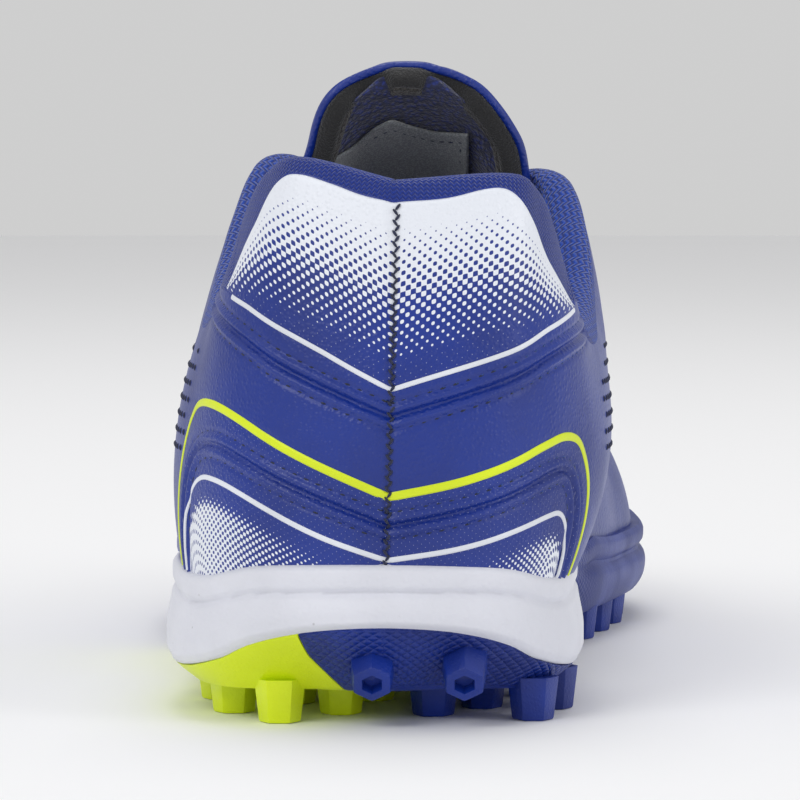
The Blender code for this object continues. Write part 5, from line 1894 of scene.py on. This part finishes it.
# %% [markdown]
# ### The studs
#
# A stud is a tapered hexagon with softened edges and a small hollow in its end. It is drawn from a
# six-sided cone: the end face is inset and pushed in, and all edges are bevelled.

# %% One stud, copied to every place
STUD_REACH = 8.0
DIMPLED_STUDS = 8


def model_stud(dimple):
    deselect()
    bpy.ops.mesh.primitive_cone_add(
        vertices=6,
        radius1=STUD_WIDTH * 0.60,
        radius2=STUD_WIDTH * 0.48,
        depth=STUD_REACH,
        end_fill_type="NGON",
    )
    stud = bpy.context.active_object
    work = bmesh.new()
    work.from_mesh(stud.data)
    end = max(work.faces, key=lambda face: face.calc_center_median().z)
    tall = [edge for edge in work.edges if abs((edge.verts[0].co - edge.verts[1].co).z) > 1]
    ring = [edge for edge in work.edges if edge in tall or edge in end.edges]
    bmesh.ops.bevel(work, geom=ring, offset=0.55, segments=2, affect="EDGES", profile=0.6)
    end = max(work.faces, key=lambda face: (round(face.calc_center_median().z, 3), face.calc_area()))
    if dimple:
        bmesh.ops.inset_region(work, faces=[end], thickness=1.15)
        bmesh.ops.inset_region(work, faces=[end], thickness=0.3, depth=-0.7)
        bmesh.ops.translate(work, verts=end.verts, vec=(0, 0, -1.3))
    points = np.array([tuple(v.co) for v in work.verts])
    faces = [tuple(v.index for v in f.verts) for f in work.faces]
    work.free()
    bpy.data.objects.remove(stud)
    return points + (0, 0, -STUD_REACH / 2), faces


STUDS = {True: model_stud(True), False: model_stud(False)}


def stand_studs(sole, lines):
    """Join copies of the stud to a sole; each line gives a tip, an axis and whether it is hollowed."""
    studs = []
    for number, (tip, axis, dimple) in enumerate(lines):
        points, faces = STUDS[dimple]
        turn = np.array(Vector((0, 0, 1)).rotation_difference(axis).to_matrix())
        placed = np.array(tip) + points @ turn.T
        studs.append(copies(f"stud {number}", placed, faces, sole.data.materials[0]))
    joined([sole, *studs], sole.name)
    bpy.ops.object.shade_smooth_by_angle(angle=math.radians(32))


blue_lines, neon_lines = [], []
for number, (base, tip) in enumerate(stud_lines()):
    axis = (tip - base).normalized()
    chosen = neon_lines if inside_pod(base.x, base.y) else blue_lines
    chosen.append((tip, axis, number < DIMPLED_STUDS))
stand_studs(outsole, blue_lines)
stand_studs(lateral, neon_lines)
settle_piece(outsole, "outsole", "outsole")
settle_piece(lateral, "outsole_lateral", "outsole_lateral")

# %% [markdown]
# ## Insole
#
# A sock of thin foam lies on the footbed, covered in cloth and turned up a little at its edge.

# %% Insole
sock_inset = feather(0) + HEEL_WALL + SLACK
sock_rings = [sole_ring(lambda a: sock_inset, bed_over(GAP))]
for drop, shrink in ((2.4, 0.0), (1.2, 0.25), (0.4, 0.9), (0.0, 2.2)):
    sock_rings.append(sole_ring(lambda a, s=shrink: sock_inset + s, bed_over(INSOLE + GAP - drop)))
insole = pull_rings("insole_sock", sock_rings, SOCK_CLOTH)
settle_piece(insole, "insole", "insole")

# %% [markdown]
# ## The tongue
#
# The tongue is a foam pad sewn between leather in front and mesh behind, with a black tape round its
# free edge and a band of grey felt inside that. It is pulled from the same rows as its solid, drawn
# finer with a smooth curve through them both ways, and its edges are rounded like a stuffed pad.

# %% Rows of the tongue, drawn finer
TONGUE_FINE = 6


def finer(grid, times):
    """Smooth curves through the rows of a grid, and then through its columns."""
    for _ in range(2):
        grid = smooth_rows(grid, times).swapaxes(0, 1)
    return grid


tongue_rows = np.array([[tuple(p) for p in section] for section in tongue_sections()])
front = finer(tongue_rows, TONGUE_FINE)
run_across = np.gradient(front, axis=1)
run_up = np.gradient(front, axis=0)
into_shoe = np.cross(run_across, run_up)
into_shoe = unit(into_shoe)
count_up, count_across = front.shape[:2]
leg = np.linalg.norm(np.diff(front, axis=1), axis=-1)
from_left = np.concatenate([np.zeros((count_up, 1)), np.cumsum(leg, axis=1)], axis=1)
from_side = np.minimum(from_left, from_left[:, -1:] - from_left)
leg_up = np.linalg.norm(np.diff(front[:, count_across // 2], axis=0), axis=-1)
from_tip = np.concatenate([np.cumsum(leg_up[::-1])[::-1], [0.0]])[:, None]
edge_reach = np.minimum(from_side, from_tip)
free = smooth_step(count_up * 0.55, count_up * 0.75, np.arange(count_up))[:, None]
stuffing = TONGUE_WALL + (TONGUE_TIP_WALL - 1.0 - TONGUE_WALL) * free
pad = stuffing * np.sqrt(np.clip(edge_reach / 2.2, 0, 1)) + 0.05
back = front + into_shoe * pad[..., None]
tongue_shell = np.concatenate([front, back[:, ::-1], front[:, :1]], axis=1)
flat_side = np.concatenate([from_left, from_left[:, ::-1] + 60, from_left[:, :1]], axis=1)
up_run = np.concatenate([[0], np.cumsum(leg_up)])
tongue_flat = np.stack([flat_side, np.broadcast_to(up_run[:, None], flat_side.shape)], axis=-1) / FLAT_SCALE
tongue = pull_grid("tongue_pad", tongue_shell[:, ::-1], flat=tongue_flat[:, ::-1])
for finish in (PLAIN_LEATHER, LINING_MESH):
    tongue.data.materials.append(finish)
side_of = np.tile(np.arange(tongue_shell.shape[1] - 1), count_up - 1)
tongue.data.polygons.foreach_set("material_index", (side_of < count_across).astype(np.int32))
weld(tongue, 0.06)
turn_faces_out()
settle_piece(tongue, "tongue", "tongue")

# %% [markdown]
# ### Tape, felt and edge of the tongue
#
# Three narrow bands follow the free edge. From the outside in they are a thin fold of blue leather, the
# black tape that closes the edge, and the grey felt that shows inside it.

# %% Bands round the free edge
FREE_FROM = 78.0
EDGE_STEP = 0.9


def free_edge():
    """Front and back points of the tongue's edge, and the way in over the back, left side first."""
    start = int(np.argmax(front[:, 0, 2] > FREE_FROM))
    left = [(i, 0) for i in range(start, count_up)]
    top = [(count_up - 1, k) for k in range(1, count_across - 1)]
    right = [(i, count_across - 1) for i in range(count_up - 1, start - 1, -1)]
    cells = left + top + right
    line = np.array([front[c] for c in cells])
    normal = np.array([into_shoe[c] for c in cells])
    both, _ = even_walk(np.column_stack([line, normal]), EDGE_STEP)
    line, normal = both[:, :3], both[:, 3:]
    for _ in range(6):
        line[1:-1] = (line[:-2] + 2 * line[1:-1] + line[2:]) / 4
        normal[1:-1] = (normal[:-2] + 2 * normal[1:-1] + normal[2:]) / 4
    normal = unit(normal)
    run = np.gradient(line, axis=0)
    run = unit(run)
    inward = np.cross(run, normal)
    middle = line.mean(axis=0)
    if np.einsum("ij,ij->i", inward, middle - line).mean() < 0:
        inward = -inward
    return line, normal, inward


EDGE_LINE, EDGE_NORMAL, EDGE_INWARD = free_edge()


def edge_band(name, section, finish):
    """A band whose section is given as way in and way back from the edge of the tongue's front."""
    section = np.array(section)
    section = np.vstack([section, section[:1]])
    points = (
        EDGE_LINE[:, None]
        + EDGE_INWARD[:, None] * section[None, :, :1]
        + EDGE_NORMAL[:, None] * section[None, :, 1:]
    )
    along_band = np.arange(len(EDGE_LINE))[:, None] * EDGE_STEP
    over_band = np.arange(len(section))[None] * 0.6
    flat = np.stack(np.broadcast_arrays(along_band, over_band), axis=-1)
    made = pull_grid(name, points, flat=flat / FLAT_SCALE)
    made.data.materials.append(finish)
    weld(made, 0.01)
    turn_faces_out()
    return settle_piece(made, "tongue")


edge_band(
    "tongue_leather_fold",
    ((-0.35, -0.45), (-0.75, 0.1), (-0.80, 0.8), (-0.45, 1.2), (0.2, 1.0), (0.9, -0.2)),
    PLAIN_LEATHER,
)
edge_band(
    "tongue_black_tape",
    ((-0.30, 0.9), (-0.45, 2.0), (-0.35, 3.4), (0.1, 4.6), (0.9, 5.05), (1.7, 4.9), (1.9, 4.2), (0.6, 1.5)),
    BLACK_TAPE,
)
felt_section = ((1.55, 4.4), (1.7, 5.0), (2.3, 5.25), (3.0, 5.2), (3.7, 5.0), (4.0, 4.4), (2.8, 3.6))
edge_band("tongue_grey_felt", felt_section, GREY_FELT)

# %% [markdown]
# ## The eyestay and its eyelets
#
# A U-shaped band of leather strengthens the edge of the throat. It is pulled from the upper's surface
# between a line some way down and the throat's edge, and given thickness. Each eyelet is a punched hole
# with a pressed rim: a ring with a cup inside it, all in a dark painted shade that stands in for the hole.

# %% Eyestay
EYESTAY_ROWS = 18


def reach_down(stations, reach):
    """Share of the way up at a distance below the top edge, for each station."""
    fine = np.tile(np.linspace(1, 0.3, 120), (len(stations), 1))
    points, _ = wall_points(stations, fine)
    leg = np.linalg.norm(np.diff(points, axis=1), axis=-1)
    run = np.concatenate([np.zeros((len(stations), 1)), np.cumsum(leg, axis=1)], axis=1)
    return np.array([np.interp(reach[i], run[i], fine[i]) for i in range(len(stations))])


def eyestay_half(side):
    beside = np.linspace(EYESTAY_BACK, THROAT, 110)
    before = np.linspace(THROAT, EYESTAY_FRONT, 36)[1:]
    stations = side * np.concatenate([beside, before])
    u = np.abs(stations)
    past = np.clip((u - THROAT) / (EYESTAY_FRONT - THROAT), 0, 1)
    start = smooth_step(EYESTAY_BACK - 0.004, EYESTAY_BACK + 0.012, u)
    wide = EYESTAY_BAND * np.sqrt(1 - 0.985 * past**2) * (0.55 + 0.45 * start)
    share = np.linspace(0, 1, EYESTAY_ROWS)
    reach = wide[:, None] * (1 - share) + np.where(u >= THROAT, 0.0, 0.3)[:, None] * share
    ups = reach_down(stations, reach)
    ups[u >= THROAT, -1] = 1.0
    points, normals = wall_points(stations, ups)
    return stations, points, normals, wide


def centre_normals(halves):
    """The ridge's own normal where the two halves meet."""
    (stations, _, left, _), (_, _, right, _) = halves
    for i, a in enumerate(stations):
        if abs(a) >= THROAT:
            both = left[i, -1] + right[i, -1]
            left[i, -1] = right[i, -1] = both / np.linalg.norm(both)


stay_halves = [eyestay_half(1), eyestay_half(-1)]
centre_normals(stay_halves)
stay_sheets = []
for stations, points, normals, wide in stay_halves:
    edge = wide[:, None] * np.linspace(0, 1, EYESTAY_ROWS)
    out = OVERLAY_GAP + OVERLAY - 0.9 * (1 - smooth_step(-0.2, 0.9, edge))
    sewn = -0.22 * bell(edge - 2.0, 0.5)
    stay_sheets.append(points + normals * (out + sewn)[..., None])
stay_points = np.concatenate([stay_sheets[0], stay_sheets[1][::-1]])
eyestay = pull_grid("eyestay_band", stay_points)
eyestay.data.materials.append(PLAIN_LEATHER)
weld(eyestay, 0.02)
thicken(eyestay, OVERLAY)
settle_piece(eyestay, "eyestay", "eyestay")

stay_stitches = []
for (stations, points, normals, wide), turned in zip(stay_halves, (1, -1)):
    row = 2
    line, out = points[:, row] + normals[:, row] * 1.45, normals[:, row]
    run = np.gradient(line, axis=0)
    run = unit(run)
    keep = slice(2, -4)
    stay_stitches += row_of_stitches(line[keep], out[keep], run[keep], np.cross(out, run)[keep], 0.0)
sew("eyestay_stitches", stay_stitches, NAVY_THREAD, "eyestay")


# %% Eyelets
def eyelet(along):
    """A pressed rim round a cup, lying on the eyestay, all in a dark painted shade for the hole."""
    up = reach_down(np.array([along]), np.array([[EYESTAY_BAND * 0.45]]))[0, 0]
    point, normal = wall_points(np.array([along]), np.array([[up]]))
    point, normal = point[0, 0], normal[0, 0]
    section = ((0.0, 0.75), (1.7, 0.75), (2.0, 1.1), (2.2, 1.75), (2.7, 1.95), (3.2, 1.75), (3.45, 1.45))
    side = np.cross(normal, (0.0, 1.0, 0.2))
    side /= np.linalg.norm(side)
    other = np.cross(normal, side)
    turns = np.linspace(0, TURN, 25)
    ring = np.cos(turns)[:, None] * side + np.sin(turns)[:, None] * other
    points = np.array([[point + ring[k] * r + normal * h for r, h in section] for k in range(len(turns))])
    return points


eyelet_objects = []
for u in eyelet_stations():
    for side in (-1, 1):
        made = pull_grid(f"eyelet {side * u:.3f}", eyelet(side * u))
        # The eyelet is coloured as painted shade, standing in for the dark of its hole
        made.data.materials.append(PAINTED_HOLLOW_SHADE)
        weld(made, 0.01)
        turn_faces_out()
        eyelet_objects.append(made)
settle_piece(joined(eyelet_objects, "eyelets"), "eyestay")

# %% [markdown]
# ## The lace
#
# The lace is a flat woven ribbon, crossed from eyelet to eyelet over the tongue. Its shape repeats the
# solid's runs at a finer step: the ribbon's section is a thin lens, it bulges a little where it crosses,
# and each end dives into its eyelet.

# %% Ribbon runs
RIBBON_STEPS = 40
RIBBON_SECTION = (
    *((-0.5, 0.0), (-0.42, 0.42), (-0.15, 0.5), (0.15, 0.5), (0.42, 0.42)),
    *((0.5, 0.0), (0.42, -0.42), (0.15, -0.5), (-0.15, -0.5), (-0.42, -0.42), (-0.5, 0.0)),
)


def ribbon(name, start, end, lift):
    low, high = sorted((start, end))
    coarse = lace_path(low, high, lift)
    line = np.array([tuple(p) for p, _ in coarse])
    upward = np.array([tuple(n) for _, n in coarse])
    fine = np.linspace(0, 1, RIBBON_STEPS)
    both = smooth_rows(np.column_stack([line, upward]), 8)
    grid = np.linspace(0, 1, len(both))
    both = np.stack([np.interp(fine, grid, both[:, k]) for k in range(6)], axis=1)
    line, upward = both[:, :3], both[:, 3:]
    run = np.gradient(line, axis=0)
    run = unit(run)
    ends = np.minimum(fine, 1 - fine)
    dive = 2.2 * bell(ends, 0.03)
    across = np.cross(run, upward)
    across = unit(across)
    normal = np.cross(across, run)
    line = line - normal * dive[:, None]
    wide = LACE_WIDTH * (0.62 + 0.38 * smooth_step(0.0, 0.12, ends))
    section = np.array(RIBBON_SECTION)
    points = (
        line[:, None]
        + across[:, None] * (section[None, :, :1] * wide[:, None, None])
        + normal[:, None] * section[None, :, 1:] * LACE_THICKNESS
    )
    flat = np.stack(
        np.broadcast_arrays(section[None, :, 0] * wide[:, None], fine[:, None] * 40.0), axis=-1
    )
    made = pull_grid(name, points, flat=flat / FLAT_SCALE)
    made.data.materials.append(LACE_WEAVE)
    weld(made, 0.01)
    bpy.ops.object.mode_set(mode="EDIT")
    bpy.ops.mesh.select_mode(type="EDGE")
    bpy.ops.mesh.select_all(action="DESELECT")
    bpy.ops.mesh.select_non_manifold()
    bpy.ops.mesh.edge_face_add()
    bpy.ops.object.mode_set(mode="OBJECT")
    turn_faces_out()
    return made


lace_stations = list(reversed(eyelet_stations()))
ribbons = [ribbon("lace bar", -lace_stations[0], lace_stations[0], 0.2)]
for number, (lower, higher) in enumerate(zip(lace_stations, lace_stations[1:])):
    ribbons.append(ribbon(f"lace left {number}", -lower, higher, 0.0))
    ribbons.append(ribbon(f"lace right {number}", lower, -higher, 0.75))
settle_piece(joined(ribbons, "woven_lace"), "lace", "lace")

# %% [markdown]
# ## Label and punched marks
#
# A plain grey label is sewn on the inside of the tongue, with a border of stitches. The quarters have
# fields of small slanted marks pressed into the leather, which fade out towards the vamp. Each mark is a
# dark piece set into the leather, painted shade for the hollow of the pressing.

# %% Label on the tongue
LABEL_LEFT = -12.0
LABEL_RIGHT = 16.2
LABEL_LOW = 82.0
LABEL_PEAK = (
    *((-12.0, 101.5), (-7.0, 104.6), (-3.0, 108.2), (0.5, 110.0)),
    *((4.5, 108.6), (9.0, 107.4), (16.2, 107.0)),
)


def behind_tongue(x, z):
    """The nearest face of the tongue's lining at a place across and up, seen from the heel."""
    spots = back[(back[..., 2] > 70)]
    gap = (spots[:, 0] - x) ** 2 + (spots[:, 2] - z) ** 2
    near = np.argsort(gap)[:6]
    weight = 1 / (gap[near] + 0.05)
    return float((spots[near, 1] * weight).sum() / weight.sum())


label_x = np.linspace(LABEL_LEFT, LABEL_RIGHT, 46)
label_top = np.interp(label_x, [p[0] for p in LABEL_PEAK], [p[1] for p in LABEL_PEAK])
label_share = np.linspace(0, 1, 34)
label_points = np.empty((len(label_x), len(label_share), 3))
for i, x in enumerate(label_x):
    for j, share in enumerate(label_share):
        z = LABEL_LOW + (label_top[i] - LABEL_LOW) * share
        wave = 0.9 + 1.0 * math.sin(x * 0.33 + 1.2) * share
        label_points[i, j] = (x, behind_tongue(x, z) - 0.75 - max(wave, 0.0) * 0.8, z)
label = pull_grid("tongue_label", label_points)
label.data.materials.append(LABEL_CLOTH)
only(label)
smooth = label.modifiers.new("even", "SMOOTH")
smooth.factor = 0.5
smooth.iterations = 6
bpy.ops.object.modifier_apply(modifier=smooth.name)
thicken(label, -0.5)
settle_piece(label, "tongue")

label_lines = [(label_points[i, -4], label_points[i + 2, -4]) for i in range(2, len(label_x) - 3, 3)]
for j in range(3, len(label_share) - 4, 3):
    label_lines += [(label_points[i, j], label_points[i, j + 2]) for i in (3, len(label_x) - 4)]
border = [((a + b) / 2 + (0, -0.65, 0), b - a, np.array((0, -1.0, 0)), 1.4, 0.4) for a, b in label_lines]
sew("label_stitches", border, NAVY_THREAD, "tongue")


# %% Marks pressed into the quarters
def quarter_marks():
    marks = []
    for side, low, high in ((-1, 0.150, 0.40), (1, 0.160, 0.44)):
        for row, height in enumerate(np.arange(40, 72, 2.9)):
            for u in np.arange(low + 0.0045 * (row % 2), high, 0.0092):
                along = side * u
                edge = foot_edge(along).z
                if height > edge - 7 or height > 68:
                    continue
                near_line = height_along(YELLOW_LINE, np.array([along]))[0]
                if u < 0.17 and height < near_line + 5:
                    continue
                fade = 1 - (u - low) / (high - low)
                if height < 46 + 14 * (1 - fade):
                    continue
                marks.append((along, height, 0.5 + 0.5 * fade))
    places = np.array([(a, z) for a, z, _ in marks])
    points, normals = on_wall(places)
    out = relief(places[:, 0], points[:, None])[:, 0]
    lean = np.array((0.0, 0.75, 1.0))
    sewn = []
    for (_, _, size), point, normal, lift in zip(marks, points, normals, out):
        sewn.append((point + normal * (lift - 0.10), lean, normal, 1.5 * size, 0.62 * size))
    return sewn


# The marks are dark pieces of painted shade for the hollows of the pressing
sew("quarter_marks", quarter_marks(), PAINTED_HOLLOW_SHADE, "upper")

# %% [markdown]
# ## Floor and light
#
# The shoe stands on a white sheet that fades into a white room, with one large soft light behind the
# camera, a weaker one from the side that draws the gloss on the leather, and a third over the toe.

# %% Floor and lights
FLOOR_HALF = 3.0

deselect()
bpy.ops.mesh.primitive_plane_add(size=2 * FLOOR_HALF, location=(0, 0, 0))
floor = bpy.context.active_object
floor.name = "floor"
paper = bpy.data.materials.new("white_paper")
paper.use_nodes = True
paper_shader = paper.node_tree.nodes["Principled BSDF"]
paper_shader.inputs["Base Color"].default_value = (0.92, 0.92, 0.93, 1)
paper_shader.inputs["Roughness"].default_value = 0.8
floor.data.materials.append(paper)

world = bpy.data.worlds.new("white_room")
world.use_nodes = True
world.node_tree.nodes["Background"].inputs["Color"].default_value = (1, 1, 1, 1)
world.node_tree.nodes["Background"].inputs["Strength"].default_value = 0.62
bpy.context.scene.world = world
bpy.context.scene.view_settings.view_transform = "Standard"


def soft_light(name, place, aim, size, power):
    lamp = bpy.data.lights.new(name, "AREA")
    lamp.shape = "RECTANGLE"
    lamp.size, lamp.size_y = size
    lamp.energy = power
    lit = bpy.data.objects.new(name, lamp)
    bpy.context.scene.collection.objects.link(lit)
    lit.location = place
    lit.rotation_euler = (Vector(aim) - Vector(place)).to_track_quat("-Z", "Y").to_euler()


soft_light("key", (-0.9, -1.3, 1.3), (0, -0.05, 0.05), (0.9, 0.9), 9)
soft_light("side", (1.3, -0.8, 0.7), (0, -0.05, 0.06), (0.5, 1.0), 4)
soft_light("top", (0.0, 0.5, 1.6), (0, 0, 0.05), (1.0, 1.0), 7)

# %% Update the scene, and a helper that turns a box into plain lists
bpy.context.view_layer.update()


def plain(box):
    return [[float(c) for c in corner] for corner in box]
